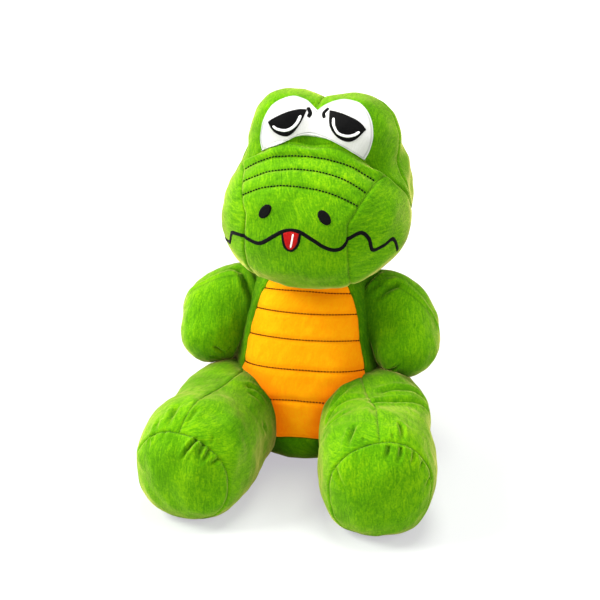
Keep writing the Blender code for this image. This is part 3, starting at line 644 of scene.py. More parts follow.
class Line:
    """A seam or a fold: points along it, how deep it draws the skin in, and how far to each side."""

    def __init__(self, points, depth, width, kind="seam"):
        along = lengths(points)
        count = max(int(along[-1] / LINE_STEP), 2)
        even = np.linspace(0, along[-1], count)
        self.points = np.stack([np.interp(even, along, points[:, axis]) for axis in range(3)], axis=1)
        self.depth, self.width, self.kind = depth, width, kind
        self.shares = even / along[-1]
        self.tree = KDTree(count)
        for index, point in enumerate(self.points):
            self.tree.insert(point, index)
        self.tree.balance()
        self.low = self.points.min(axis=0) - width * 3
        self.high = self.points.max(axis=0) + width * 3

    def draw_in(self, points):
        """How much each point sinks, and how much painted shade it gets, next to the line."""
        sink, dark = np.zeros(len(points)), np.zeros(len(points))
        near = np.flatnonzero(((points > self.low) & (points < self.high)).all(axis=1))
        if not len(near):
            return sink, dark
        found = [self.tree.find(point)[1:] for point in points[near]]
        index = np.array([hit[0] for hit in found])
        away = np.array([hit[1] for hit in found]) / self.width
        if self.kind == "fold":
            start = self.shares[index] * FOLD_START + FOLD_OPEN
            end = (1 - self.shares[index]) * FOLD_END
            strength = np.clip(np.minimum(start, end), 0, 1)
            sink[near] = self.depth * strength * (hill(away, 2.2) - FOLD_RIDGE * hill(away - 1.6, 2))
            dark[near] = strength * hill(away, 4) * min(self.depth / DARK_FOLD_DEPTH, 1) * FOLD_DARK
        elif self.kind == "welt":
            sink[near] = -self.depth * hill(away * 1.6)
            dark[near] = WELT_DARK * hill((away - 1.5) / 0.3)
        elif self.kind == "quilt":
            sink[near] = self.depth * hill(away, 2)
            dark[near] = QUILT_DARK * hill(away, 3)
        else:
            sink[near] = self.depth * np.clip(1 - away, 0, 1) ** 2
            dark[near] = SEAM_DARK * hill(away * self.width / SEAM_SHADE)
        return sink, dark


class Skin:
    """The outside of one stuffed form, drawn in along its seams and folds.

    Its tie is the body that its pieces ride, or the bend between two bodies that they follow.
    """

    def __init__(self, form, centre, axes, place, lump, seed, tie, fill, full=(), near=(), **more):
        self.form, self.centre, self.axes, self.place = form, centre, axes, place
        self.lump, self.seed, self.full, self.near = lump, seed, full, near
        self.tie, self.fill = tie, fill
        self.shape, self.off, self.side = more.get("shape"), more.get("off"), more.get("side", 1)
        self.move = more.get("move", sided(self.side))
        self.lines = []

    def plain(self, polar, around):
        directions = ways(self.axes, polar, around)
        return self.centre + directions * first_hits(self.form, self.centre, directions)[:, None]

    def seam(self, polar, around, depth=SEAM_DEPTH, width=SEAM_WIDTH, kind="seam"):
        self.lines.append(Line(self.plain(polar, around), depth, width, kind))

    def sew(self, rows, columns, *kind):
        """A seam along rows and columns of the skin's own net."""
        self.seam(*self.place(rows, columns), *kind)

    def fold(self, places, depth, width):
        polar, around = np.array(smooth_line(places, 6)).T
        self.lines.append(Line(self.plain(polar, around), depth, width, "fold"))

    def surface(self, directions, level=0.0):
        """Points of the skin, the way it faces there, and the painted shade from its seams, folds and nearby
        forms.
        """
        form = self.form if level == 0 else (lambda points: self.form(points) - level)
        points = self.centre + directions * first_hits(form, self.centre, directions)[:, None]
        slopes = [form(points + SLOPE_STEP * axis) - form(points - SLOPE_STEP * axis) for axis in np.eye(3)]
        slope = np.stack(slopes, axis=1)
        facing = unit(slope)
        sink, seams, dark = np.zeros((3, len(points)))
        for line in self.lines:
            lower, darker = line.draw_in(points)
            if line.kind == "seam":
                seams = np.maximum(seams, lower)
            else:
                sink += lower
            dark = np.maximum(dark, darker)
        # Painted shade on the skin where another form lies close
        for other in self.near:
            away = np.maximum(other(points), 0) / SHADE_REACH
            dark = np.maximum(dark, SHADE * hill(away))
        rise = self.lump * ripple(points, LUMP_LENGTH, self.seed)
        rise = rise + self.lump * SMALL_LUMP_SHARE * ripple(points, SMALL_LUMP_LENGTH, self.seed + 1)
        for polar, around, spread, height in self.full:
            middle = ways(self.axes, np.array(float(polar)), np.array(float(around)))
            away = np.degrees(np.arccos(np.clip(directions @ middle, -1, 1))) / spread
            rise = rise + height * hill(away)
        if self.shape:
            rise = rise + self.shape(directions)
        lifted = np.clip(points[:, 2] / FLOOR_EASE, 0, 1)
        moved = points + facing * ((rise - sink - seams) * lifted)[:, None]
        if self.off:
            moved -= facing * np.clip(ARM_REST - self.off(moved), 0, None)[:, None]
        return moved, facing, dark


def smooth_line(points, count):
    """A smooth line through points, with the same number of steps between each two."""
    points = [np.array(point, float) for point in points]
    ends = [2 * points[0] - points[1]] + points + [2 * points[-1] - points[-2]]
    line = []
    for before, start, end, after in zip(ends, ends[1:], ends[2:], ends[3:]):
        for step in range(count):
            t = step / count
            line.append(
                start
                + (end - before) * t / 2
                + (before - start * 2.5 + end * 2 - after / 2) * t**2
                + (after - before + (start - end) * 3) / 2 * t**3
            )
    return line + [points[-1]]


def evenly(first, last, count, stretch, step=steps):
    """Angles from a pole that step evenly along a form that is longer than it is wide."""

    def eased(angle, share):
        return math.degrees(math.atan2(math.sin(math.radians(angle)), share * math.cos(math.radians(angle))))

    even = step(eased(first, 1 / stretch), eased(last, 1 / stretch), count)
    return np.array([eased(angle, stretch) for angle in even])


def strip_half(row):
    """How far the muzzle's middle panel reaches across: narrow below the nose, wide at the crease."""
    front = (row - STRIP_FLARE_FROM) / (CREASE_SEAM - STRIP_FLARE_FROM)
    behind = (NAPE_SEAM + 360 - row) / (NAPE_SEAM + 360 - CROWN_SEAM)
    return STRIP_NARROW + (STRIP_WIDE - STRIP_NARROW) * np.clip(np.minimum(front, behind), 0, 1)


def belly_half(row):
    share = (row - BASE_SEAM) / (NECK_SEAM - BASE_SEAM)
    return BELLY_NARROW + (BELLY_WIDE - BELLY_NARROW) * np.clip(share, 0, 1)


def spread(share, seam, end):
    """An angle from the middle: the seam's at a share of 1, and the end's at a share of 2."""
    size = np.abs(share)
    return np.copysign(np.where(size <= 1, seam * size, seam + (end - seam) * (size - 1)), share)


def crown_lean(row, share):
    """How far a row near the crown's seam comes forward at the sides of the head."""
    before = (row - CREASE_SEAM) / (CROWN_SEAM - CREASE_SEAM)
    behind = (NAPE_SEAM + 360 - row) / (NAPE_SEAM + 360 - CROWN_SEAM)
    return CROWN_LEAN * np.maximum(np.minimum(before, behind), 0) * np.clip(np.abs(share) - 0.5, 0, 1)


def crease_drop(row, share):
    """How far a row near the crease comes down beside the middle."""
    below = (row - STRIP_FLARE_FROM) / (CREASE_SEAM - STRIP_FLARE_FROM)
    above = (CROWN_SEAM - row) / (CROWN_SEAM - CREASE_SEAM)
    beside = np.minimum((share / CREASE_DROP_BY) ** 2, 1)
    return CREASE_DROP * np.clip(np.minimum(below, above), 0, 1) * beside


def head_place(row, share):
    return 90 - spread(share, strip_half(row), 90), row - crown_lean(row, share) - crease_drop(row, share)


def torso_place(row, share):
    return row, spread(share, belly_half(row), 180)


def plain_place(row, column):
    return row, column


def arm_place(row, column):
    away = turn_from(column, ARM_SEAM_SHIFT_AT, ARM_SEAM_SHIFT_WIDTH)
    near = 1 - np.abs(row - ARM_SEAM) / ARM_SEAM
    return row - ARM_SEAM_SHIFT * near * hill(away), column


def leg_place(side):
    """Places on the left or the right leg, whose soles' seams run a little differently."""
    rise, at = SOLE_RISE[side]

    def place(row, column):
        behind = np.maximum(row - LEG_SEAM_LEAN_FROM, 0) / (LEG_OPENING - LEG_SEAM_LEAN_FROM)
        turn = column - LEG_SEAM_LEAN * behind * (1 + np.cos(np.radians(column))) / 2
        away = turn_from(column, at, SOLE_RISE_WIDTH)
        near = np.clip(np.minimum(row / SOLE_SEAM, 1 - (row - SOLE_SEAM) / 60), 0, 1)
        return row + rise * near * hill(away), turn

    return place


def ledge(directions):
    """The muzzle's top edge, plump over the crease, and the brow lower behind it."""
    row = np.degrees(np.arctan2(directions @ UP, directions @ FRONT))
    column = np.degrees(np.arcsin(np.clip(directions @ X_AXIS, -1, 1)))
    fade = np.clip((LEDGE_ENDS_AT - np.abs(column)) / LEDGE_FADE, 0, 1)
    share = column / STRIP_WIDE
    past = row - CREASE_SEAM + CREASE_DROP * np.minimum((share / CREASE_DROP_BY) ** 2, 1)
    before, behind = hill((past + LEDGE_PLUMP) / LEDGE_PLUMP), math.exp(-1) * np.exp(-past / LEDGE_EDGE)
    plump = LEDGE_RISE * np.where(past < 0, before, behind)
    lower = LEDGE_SINK * hill(past / LEDGE_DIP) * np.clip(past / LEDGE_DIP_FROM, 0, 1)
    return (plump - lower) * fade


def net(axes, rows, columns, place):
    """Directions and faces of a patch. Points that fall together, as at a pole, are one point."""
    row, column = np.meshgrid(rows, columns, indexing="ij")
    directions = ways(axes, *place(row, column)).reshape(-1, 3)
    _, first, index = np.unique(np.round(directions, 6) + 0.0, axis=0, return_index=True, return_inverse=True)
    grid = index.reshape(row.shape)
    corners = np.stack([grid[:-1, :-1], grid[:-1, 1:], grid[1:, 1:], grid[1:, :-1]], axis=-1).reshape(-1, 4)
    faces = []
    for quad in corners.tolist():
        face = [corner for turn, corner in enumerate(quad) if corner != quad[turn - 1]]
        if len(face) > 2:
            faces.append(face)
    return directions[first], faces, grid


def borders(faces):
    edges = {(a, b) for face in faces for a, b in zip(face, face[1:] + face[:1])}
    return sorted((a, b) for a, b in edges if (b, a) not in edges)


def outwards(points, faces, facing):
    """The faces turned so that they look the way the skin faces."""
    a, b, c = (points[[face[corner] for face in faces]] for corner in range(3))
    votes = (np.cross(b - a, c - a) * facing[[face[0] for face in faces]]).sum()
    return faces if votes > 0 else [face[::-1] for face in faces]


def head_set(points):
    """Points of the head, turned to the side as it sits on the neck."""
    return (points - NECK) @ head_turn.T + NECK


def in_scene(name, data):
    """A new object that holds the data, in the scene."""
    made = bpy.data.objects.new(name, data)
    bpy.context.scene.collection.objects.link(made)
    return made


def make(name, skin, points, faces, colour, node=None, marks=None, uv=None, fill=None):
    """One piece from its points and faces, in place, with its painted shade kept as a mark for the material.
    """
    data = bpy.data.meshes.new(name)
    if skin.side < 0:
        faces = [face[::-1] for face in faces]
    data.from_pydata(skin.move(points).tolist(), [], faces)
    # The marks say how much painted shade lies on each point
    if marks is not None:
        kept = data.attributes.new("painted_shade", "FLOAT", "POINT")
        kept.data.foreach_set("value", marks.astype(np.float32))
    if uv is not None:
        layer = data.uv_layers.new(name="Pile")
        corners = np.zeros(len(data.loops), np.int32)
        data.loops.foreach_get("vertex_index", corners)
        layer.data.foreach_set("uv", uv[corners].astype(np.float32).ravel())
    data.shade_smooth()
    data.materials.append(colour)
    data.validate()
    settle(in_scene(name, data), skin, colour, node, fill)


def settle(piece, skin, colour, node, fill=None):
    """Tie a finished piece to the frame."""
    if isinstance(skin.tie, tuple):
        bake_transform(piece, *skin.tie)
    else:
        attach(piece, skin.tie)
    if node:
        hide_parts(node)


def cloth(name, skin, rows, columns, colour, node=None, pole=None):
    """A panel of skin as thick as its cloth, closed at its edges. Its pile lies flat round a pole in it."""
    directions, faces, grid = net(skin.axes, rows, columns, skin.place)
    outer, facing, dark = skin.surface(directions)
    faces = outwards(outer, faces, facing)
    inner = outer - facing * SKIN
    count = len(outer)
    all_faces = faces + [[corner + count for corner in reversed(face)] for face in faces]
    all_faces += [[b, a, a + count, b + count] for a, b in borders(faces)]
    laid = outer[grid]
    down = np.zeros(grid.shape)
    over = np.zeros(grid.shape)
    down[1:] = np.cumsum(np.linalg.norm(np.diff(laid, axis=0), axis=2), axis=0)
    over[:, 1:] = np.cumsum(np.linalg.norm(np.diff(laid, axis=1), axis=2), axis=1)
    uv = np.zeros((count, 2))
    if pole:
        away = {"first row": down, "last row": down[-1] - down, "last column": over[:, -1:] - over}[pole]
        around = np.radians(skin.place(*np.meshgrid(rows, columns, indexing="ij"))[1])
        over, down = away * np.sin(around), away * np.cos(around)
    uv[grid.ravel()] = np.stack([over.ravel(), down.ravel()], axis=1)
    points = np.concatenate([outer, inner])
    make(name, skin, points, all_faces, colour, node, np.tile(dark, 2), np.tile(uv, (2, 1)), skin.fill)


def wadding(name, skin, rows, columns, node, place=None):
    """The stuffing inside a skin, lumpy and closed all round."""
    directions, faces, _ = net(skin.axes, rows, columns, place or skin.place)
    inside, facing, _ = skin.surface(directions, -FILLING_DEPTH)
    lumps = np.minimum(FILLING_LUMP * ripple(inside, FILLING_LUMP_LENGTH, skin.seed + 7), FILLING_LUMP_MOST)
    inside = inside + facing * lumps[:, None]
    make(name, skin, inside, outwards(inside, faces, facing), fibre, node, fill=skin.fill)


def facing_out(points, faces, corners, way):
    """The faces turned so that three corners of one of them look a certain way."""
    a, b, c = points[np.array(corners)]
    return faces if np.dot(np.cross(b - a, c - a), way) >= 0 else [face[::-1] for face in faces]


def closed_outline(edge, count):
    """Points of an outline, evenly spaced all the way round."""
    edge = np.array(edge, float)
    around = np.vstack([edge, edge[:1]])
    along = lengths(around)
    even = np.linspace(0, along[-1], count, endpoint=False)
    return np.stack([np.interp(even, along, around[:, axis]) for axis in range(2)], axis=1)


def applique(name, skin, middle, edge, lift, height, colour, node, count, rings, rim=0.0, fill=None):
    """A raised patch on a skin inside an outline, rounded down into the cloth at its edge."""
    middle = np.array(middle)
    outline = closed_outline(edge, count)
    shares = np.concatenate(([0], 1 - (1 - np.linspace(0, 1, rings + 1)[1:]) ** RING_CROWDING))
    places = middle + (outline[None] - middle) * shares[:, None, None]
    directions = ways(skin.axes, 90 - places[..., 0], places[..., 1]).reshape(-1, 3)
    base, facing, _ = skin.surface(directions)
    base, facing = base.reshape(rings + 1, count, 3), facing.reshape(rings + 1, count, 3)
    inset = np.linalg.norm(base[-1][None] - base, axis=2)
    fall = np.sqrt(np.clip(1 - (1 - np.clip(inset / (height * PATCH_ROUND), 0, 1)) ** 2, 0, 1))
    rise = lift + height * fall - PATCH_SINK * (1 - fall)
    # Painted shade down in the groove round the patch's rim
    rim_groove_shade = np.zeros_like(inset)
    if rim:
        rise += RIM_RISE * hill((inset - rim / 2) / (rim * 0.35))
        rise -= RIM_GROOVE * hill((inset - rim * GROOVE_AT) / (rim * 0.2))
        rim_groove_shade = hill((inset - rim * GROOVE_AT) / (rim * 0.3))
    top = base + facing * rise[..., None]
    under = base[-1] - facing[-1] * PATCH_BACKING
    grid = np.zeros((rings + 1, count), int)
    grid[1:] = 1 + np.arange(rings * count).reshape(rings, count)
    points = [top[0, :1], top[1:].reshape(-1, 3), under, base[0, :1] - facing[0, :1] * PATCH_BACKING]
    low = 1 + rings * count
    faces = []
    for ring in range(rings):
        for turn in range(count):
            following = (turn + 1) % count
            face = [grid[ring, turn], grid[ring + 1, turn], grid[ring + 1, following], grid[ring, following]]
            faces.append(face[:3] if ring == 0 else face)
    for turn in range(count):
        following = (turn + 1) % count
        faces.append([grid[rings, turn], low + turn, low + following, grid[rings, following]])
        faces.append([low + turn, low + count, low + following])
    marks = np.concatenate([rim_groove_shade[0, :1], rim_groove_shade[1:].ravel(), np.zeros(count + 1)])
    points = np.concatenate(points)
    flat = np.stack([places[..., 0], places[..., 1]], axis=-1) * math.radians(1) * 0.08
    uv = np.concatenate([flat[0, :1], flat[1:].reshape(-1, 2), flat[-1], flat[0, :1]])
    faces = facing_out(points, faces, faces[count * 2][:3], facing[2, 0])
    make(name, skin, points, faces, colour, node, marks, uv, fill)


def bead(name, skin, places, finer, width, height, lift, colour, node, taper, count=7):
    """A raised row of satin stitches that follows a smooth line through places on a skin."""
    places = np.array(smooth_line(places, finer), float)
    base, facing, _ = skin.surface(ways(skin.axes, 90 - places[:, 0], places[:, 1]))
    aside = unit(np.cross(facing, unit(np.gradient(base, axis=0))))
    along = lengths(base)
    near_end = np.clip(np.minimum(along, along[-1] - along) / width, 0, 1)
    size = taper + (1 - taper) * np.sqrt(np.clip(1 - (1 - near_end) ** 2, 0, 1))
    angles = np.linspace(0, math.pi, count)
    across = np.cos(angles) * width / 2
    over = np.sin(angles) ** 0.7 * height
    points, uv = [], []
    for k in range(count):
        above = lift - THREAD_SINK + over[k] * size
        points.append(base + aside * (across[k] * size)[:, None] + facing * above[:, None])
        uv.append(np.stack([along, np.full(len(along), across[k])], axis=1))
    points, uv = np.stack(points, axis=1), np.stack(uv, axis=1)
    total = len(base)
    faces = []
    for row in range(total - 1):
        for k in range(count):
            beside = (k + 1) % count
            start, end = row * count, (row + 1) * count
            faces.append([start + k, start + beside, end + beside, end + k])
    faces.append(list(range(count))[::-1])
    faces.append([(total - 1) * count + k for k in range(count)])
    points, uv = points.reshape(-1, 3), uv.reshape(-1, 2)
    middle = count // 2
    faces = facing_out(points, faces, (middle, middle + 1, count + middle + 1), facing[0])
    make(name, skin, points, faces, colour, node, None, uv)


def give(node, **values):
    """Give a node's inputs their values."""
    for title, value in values.items():
        node.inputs[title.replace("_", " ")].default_value = value


# The pile: how fine its flecks, strokes and brushed areas are, and how high they stand
FLECK_SCALE = 620
STROKE_SCALE = 420
BRUSHED_SCALE = 30
FLECK_RELIEF = 0.0006
STROKE_RELIEF = 0.0010
STROKE_STRETCH = (1.0, 0.22, 1.0)
SHEEN_ROUGHNESS = 0.32

# The satin stitches: how far apart they lie, how uneven they are, and how high they stand
SATIN_PITCH = 0.00042
SATIN_SCALE = 420
SATIN_RELIEF = 0.0003


def new_material(name, rough, sheen, sheen_tint, specular):
    made = bpy.data.materials.new(name)
    made.use_nodes = True
    shader = made.node_tree.nodes["Principled BSDF"]
    give(shader, Roughness=rough, Specular_IOR_Level=specular)
    give(shader, Sheen_Weight=sheen, Sheen_Roughness=SHEEN_ROUGHNESS, Sheen_Tint=(*sheen_tint, 1))
    return made, shader


class Nodes:
    """A short way to write a material's nodes."""

    def __init__(self, made):
        self.tree = made.node_tree
        self.coordinates = self.tree.nodes.new("ShaderNodeTexCoord")

    def link(self, source, target):
        self.tree.links.new(source, target)

    def noise(self, scale, detail=2.0, rough=0.55, distortion=0.0, vector=None):
        node = self.tree.nodes.new("ShaderNodeTexNoise")
        give(node, Scale=scale, Detail=detail, Roughness=rough, Distortion=distortion)
        self.link(vector or self.coordinates.outputs["Object"], node.inputs["Vector"])
        return node.outputs["Fac"]

    def stretched(self, source, scale):
        node = self.tree.nodes.new("ShaderNodeMapping")
        give(node, Scale=scale)
        self.link(source, node.inputs["Vector"])
        return node.outputs["Vector"]

    def ramp(self, value, stops):
        node = self.tree.nodes.new("ShaderNodeValToRGB")
        while len(node.color_ramp.elements) < len(stops):
            node.color_ramp.elements.new(0.5)
        for element, (place, colour) in zip(node.color_ramp.elements, stops):
            element.position = place
            element.color = (*colour, 1)
        self.link(value, node.inputs["Fac"])
        return node.outputs["Color"]

    def mix(self, kind, factor, first, second):
        node = self.tree.nodes.new("ShaderNodeMix")
        node.data_type = "RGBA"
        node.blend_type = kind
        for source, socket in ((factor, node.inputs[0]), (first, node.inputs[6]), (second, node.inputs[7])):
            if isinstance(source, bpy.types.NodeSocket):
                self.link(source, socket)
            else:
                socket.default_value = source if socket is node.inputs[0] else (*source, 1)
        return node.outputs[2]

    def math(self, kind, first, second):
        node = self.tree.nodes.new("ShaderNodeMath")
        node.operation = kind
        for source, socket in zip((first, second), node.inputs):
            if isinstance(source, bpy.types.NodeSocket):
                self.link(source, socket)
            else:
                socket.default_value = source
        return node.outputs[0]

    def bump(self, height, strength, distance, normal=None):
        node = self.tree.nodes.new("ShaderNodeBump")
        give(node, Strength=strength, Distance=distance)
        self.link(height, node.inputs["Height"])
        if normal:
            self.link(normal, node.inputs["Normal"])
        return node.outputs["Normal"]

    def mark(self, name):
        node = self.tree.nodes.new("ShaderNodeAttribute")
        node.attribute_name = name
        return node.outputs["Fac"]


def linear(red, green, blue):
    """A colour from its 0 to 255 values on the screen."""
    shares = [value / 255 for value in (red, green, blue)]
    return tuple(share / 12.92 if share <= 0.04045 else ((share + 0.055) / 1.055) ** 2.4 for share in shares)


def plush(name, dark, middle, light, painted_shade, sheen_tint, sheen, grain=1.0):
    """Short pile: brushed one way here and another there, flecked, and with painted shade down in the seams
    and folds and where forms lie close.
    """
    made, shader = new_material(name, 0.95, sheen, sheen_tint, 0.06)
    nodes = Nodes(made)
    flow = nodes.stretched(nodes.coordinates.outputs["UV"], STROKE_STRETCH)
    fleck = nodes.noise(FLECK_SCALE, 3.0, 0.6)
    stroke = nodes.noise(STROKE_SCALE, 3.0, 0.6, 1.4, flow)
    brushed = nodes.noise(BRUSHED_SCALE, 2.0, 0.5, 0.5)
    mixed = nodes.math("ADD", nodes.math("MULTIPLY", fleck, 0.30), nodes.math("MULTIPLY", stroke, 0.42))
    mixed = nodes.math("ADD", mixed, nodes.math("MULTIPLY", brushed, 0.28))
    colour = nodes.ramp(mixed, ((0.36, dark), (0.5, middle), (0.64, light)))
    # Painted shade: the colour goes towards the shade colour as far as the mark says
    colour = nodes.mix("MIX", nodes.math("MULTIPLY", nodes.mark("painted_shade"), 0.8), colour, painted_shade)
    nodes.link(colour, shader.inputs["Base Color"])
    pile = nodes.bump(stroke, 0.35 * grain, STROKE_RELIEF)
    pile = nodes.bump(fleck, 0.45 * grain, FLECK_RELIEF, pile)
    nodes.link(pile, shader.inputs["Normal"])
    return made


def thread(name, colour, paler, rough, specular=0.5):
    """Satin stitches side by side, across the line that they follow."""
    made, shader = new_material(name, rough, 0.0, WHITE, specular)
    nodes = Nodes(made)
    wave = nodes.tree.nodes.new("ShaderNodeTexWave")
    wave.bands_direction = "X"
    give(wave, Scale=math.pi / (SATIN_PITCH * 20), Distortion=1.2, Detail=1.0)
    nodes.link(nodes.coordinates.outputs["UV"], wave.inputs["Vector"])
    uneven = nodes.noise(SATIN_SCALE, 2.0)
    waves = nodes.math("MULTIPLY", wave.outputs["Fac"], 0.6)
    mixed = nodes.math("ADD", waves, nodes.math("MULTIPLY", uneven, 0.4))
    nodes.link(nodes.ramp(mixed, ((0.25, colour), (0.8, paler))), shader.inputs["Base Color"])
    nodes.link(nodes.bump(mixed, 0.5, SATIN_RELIEF), shader.inputs["Normal"])
    return made


# Each cloth's colours: dark, middle and light in its flecks, and the painted shade down in its creases and
# where forms lie close
GREEN = (linear(56, 114, 1), linear(83, 145, 1), linear(122, 175, 3), linear(20, 72, 2))
ORANGE = (linear(208, 142, 2), linear(215, 157, 3), linear(222, 172, 10), linear(196, 84, 2))
FELT = (linear(208, 208, 204), linear(214, 214, 210), linear(220, 220, 216), linear(150, 154, 150))
FIBRE = (linear(205, 205, 202), linear(228, 228, 226), linear(246, 246, 244), linear(180, 180, 178))
GREEN_SHEEN = (1.0, 0.86, 0.24)
ORANGE_SHEEN = (1, 0.5, 0.1)
# A painted glow that the orange plush gives off, to keep its red high in the shade
ORANGE_PAINTED_GLOW = (0.36, 0.035, 0.0)
WHITE = (1, 1, 1)

green = plush("green plush", *GREEN, GREEN_SHEEN, 0.85)
orange = plush("orange plush", *ORANGE, ORANGE_SHEEN, 0.5, 0.4)
felt = plush("white felt", *FELT, WHITE, 0.05, 0.25)
# Painted light: the orange plush glows a little red of its own, so that its red stays high in the shade too
glowing_orange = orange.node_tree.nodes["Principled BSDF"]
give(glowing_orange, Emission_Color=(*ORANGE_PAINTED_GLOW, 1), Emission_Strength=1.0)
black = thread("black thread", linear(2, 2, 2), linear(8, 8, 9), 0.7, specular=0.08)
white = thread("white thread", linear(240, 241, 238), linear(252, 252, 250), 0.6, specular=0.2)
red = thread("red thread", linear(150, 8, 6), linear(196, 18, 14), 0.6, specular=0.1)
seam_thread = thread("dark green thread", linear(22, 62, 8), linear(34, 84, 12), 0.7)
fibre = plush("polyester fibre", *FIBRE, WHITE, 0.2, 0.8)


def stitch_tree():
    """Geometry nodes that lay one rounded stitch after another along a line, flat on the cloth."""
    tree = bpy.data.node_groups.new("row of stitches", "GeometryNodeTree")
    tree.interface.new_socket("Line", in_out="INPUT", socket_type="NodeSocketGeometry")
    for title in ("Pitch", "Length", "Width"):
        tree.interface.new_socket(title, in_out="INPUT", socket_type="NodeSocketFloat")
    tree.interface.new_socket("Thread", in_out="INPUT", socket_type="NodeSocketMaterial")
    tree.interface.new_socket("Stitches", in_out="OUTPUT", socket_type="NodeSocketGeometry")
    node = tree.nodes.new
    given, result = node("NodeGroupInput"), node("NodeGroupOutput")
    curve, even = node("GeometryNodeMeshToCurve"), node("GeometryNodeResampleCurve")
    even.mode = "LENGTH"
    ball = node("GeometryNodeMeshUVSphere")
    give(ball, Segments=8, Rings=5, Radius=0.5)
    size = node("ShaderNodeCombineXYZ")
    shape = node("GeometryNodeTransform")
    place = node("GeometryNodeInstanceOnPoints")
    tangent = node("GeometryNodeInputTangent")
    ahead = node("FunctionNodeAlignRotationToVector")
    ahead.axis = "X"
    up = node("GeometryNodeInputNamedAttribute")
    up.data_type = "FLOAT_VECTOR"
    give(up, Name="up")
    upright = node("FunctionNodeAlignRotationToVector")
    upright.axis = "Z"
    upright.pivot_axis = "X"
    solid = node("GeometryNodeRealizeInstances")
    finish = node("GeometryNodeSetMaterial")
    smooth = node("GeometryNodeSetShadeSmooth")
    for start, out, end, into in (
        (given, "Line", curve, "Mesh"),
        (curve, "Curve", even, "Curve"),
        (given, "Pitch", even, "Length"),
        (given, "Length", size, "X"),
        (given, "Width", size, "Y"),
        (given, "Width", size, "Z"),
        (ball, "Mesh", shape, "Geometry"),
        (size, "Vector", shape, "Scale"),
        (even, "Curve", place, "Points"),
        (shape, "Geometry", place, "Instance"),
        (tangent, "Tangent", ahead, "Vector"),
        (ahead, "Rotation", upright, "Rotation"),
        (up, "Attribute", upright, "Vector"),
        (upright, "Rotation", place, "Rotation"),
        (place, "Instances", solid, "Geometry"),
        (solid, "Geometry", smooth, "Geometry"),
        (smooth, "Geometry", finish, "Geometry"),
        (given, "Thread", finish, "Material"),
        (finish, "Geometry", result, "Stitches"),
    ):
        tree.links.new(start.outputs[out], end.inputs[into])
    return tree


stitches = stitch_tree()


def stitched(name, skin, polar, around, lift, colour, sizes, node=None):
    """A row of machine stitches along a line on a skin."""
    base, facing, _ = skin.surface(ways(skin.axes, np.array(polar, float), np.array(around, float)))
    data = bpy.data.meshes.new(name + "_line")
    points = skin.move(base + facing * lift)
    data.from_pydata(points.tolist(), [(i, i + 1) for i in range(len(points) - 1)], [])
    tips = skin.move(base + facing * (lift + 1)) - points
    kept = data.attributes.new("up", "FLOAT_VECTOR", "POINT")
    kept.data.foreach_set("vector", tips.astype(np.float32).ravel())
    line = in_scene(name + "_line", data)
    modifier = line.modifiers.new("stitches", "NODES")
    modifier.node_group = stitches
    inputs = {item.name: item.identifier for item in stitches.interface.items_tree if item.in_out == "INPUT"}
    for title, value in zip(("Pitch", "Length", "Width", "Thread"), (*sizes, colour)):
        modifier[inputs[title]] = value
    made = bpy.data.meshes.new_from_object(line.evaluated_get(bpy.context.evaluated_depsgraph_get()))
    bpy.data.objects.remove(line)
    made.name = name
    for kept in list(made.attributes):
        if kept.name == "up":
            made.attributes.remove(kept)
    settle(in_scene(name, made), skin, colour, node)


SIDES = (("left", 1), ("right", -1))

# The torso
torso_shaded_by = (both_sides(whole_arm), both_sides(whole_leg), head_at_rest)
torso = Skin(
    torso_form, TORSO_CENTRE, TORSO_FRAME, torso_place, LUMP, 11, "torso", 0.8, TORSO_FULL, torso_shaded_by
)
for column in (-1, 1, 2):
    torso.sew(*along_column(BASE_SEAM_SHOWN, NECK_SEAM, 60, column))
torso.sew(*along_row(BASE_SEAM_SHOWN, -2, 2, 120))


def belly_line(middle, drop, width_share):
    """Where a row of stitches runs across the belly."""
    half = belly_half(middle - drop) * width_share
    shares = steps(-1, 1, 60)
    return middle - drop * shares**2, shares * half


belly_lines = [belly_line(*line, share) for line, share in zip(BELLY_LINES, BELLY_LINE_SHARES)]
for line in belly_lines:
    torso.seam(*line, QUILT_DEPTH, QUILT_WIDTH, "quilt")

torso_rows = crowded(BASE_SEAM_SHOWN, NECK_SEAM, 180, 0.4)
cloth("belly_cloth", torso, torso_rows, crowded(-1, 1, 90), orange, "belly_panel")
for name, side in SIDES:
    cloth(f"{name}_back_cloth", torso, torso_rows, side * crowded(1, 2, 90), green, f"{name}_back_panel")
cloth("base_cloth", torso, crowded(0, BASE_SEAM_SHOWN, 40), steps(-2, 2, 200), green, "base_panel")
cloth("torso_top_cloth", torso, steps(NECK_SEAM, 180, 40), steps(-2, 2, 120), green)
wadding("torso_filling", torso, steps(0, 180, 60), steps(-2, 2, 90), "torso_stuffing")
for number, line in enumerate(belly_lines, 1):
    stitched(f"belly_stitches_{number}", torso, *line, DASH_LIFT, black, DASHES, f"belly_stitching_{number}")

# The neck
neck = Skin(neck_form, NECK, TORSO_FRAME, plain_place, NECK_LUMP, 3, "neck", 0.9)
sleeve_rows = steps(90 - SLEEVE_REACH, 90 + SLEEVE_REACH, 30)
cloth("neck_cloth", neck, sleeve_rows, steps(0, 360, 90), green, "neck_sleeve")
wadding("neck_filling", neck, steps(0, 180, 30), steps(0, 360, 60), "neck_stuffing")

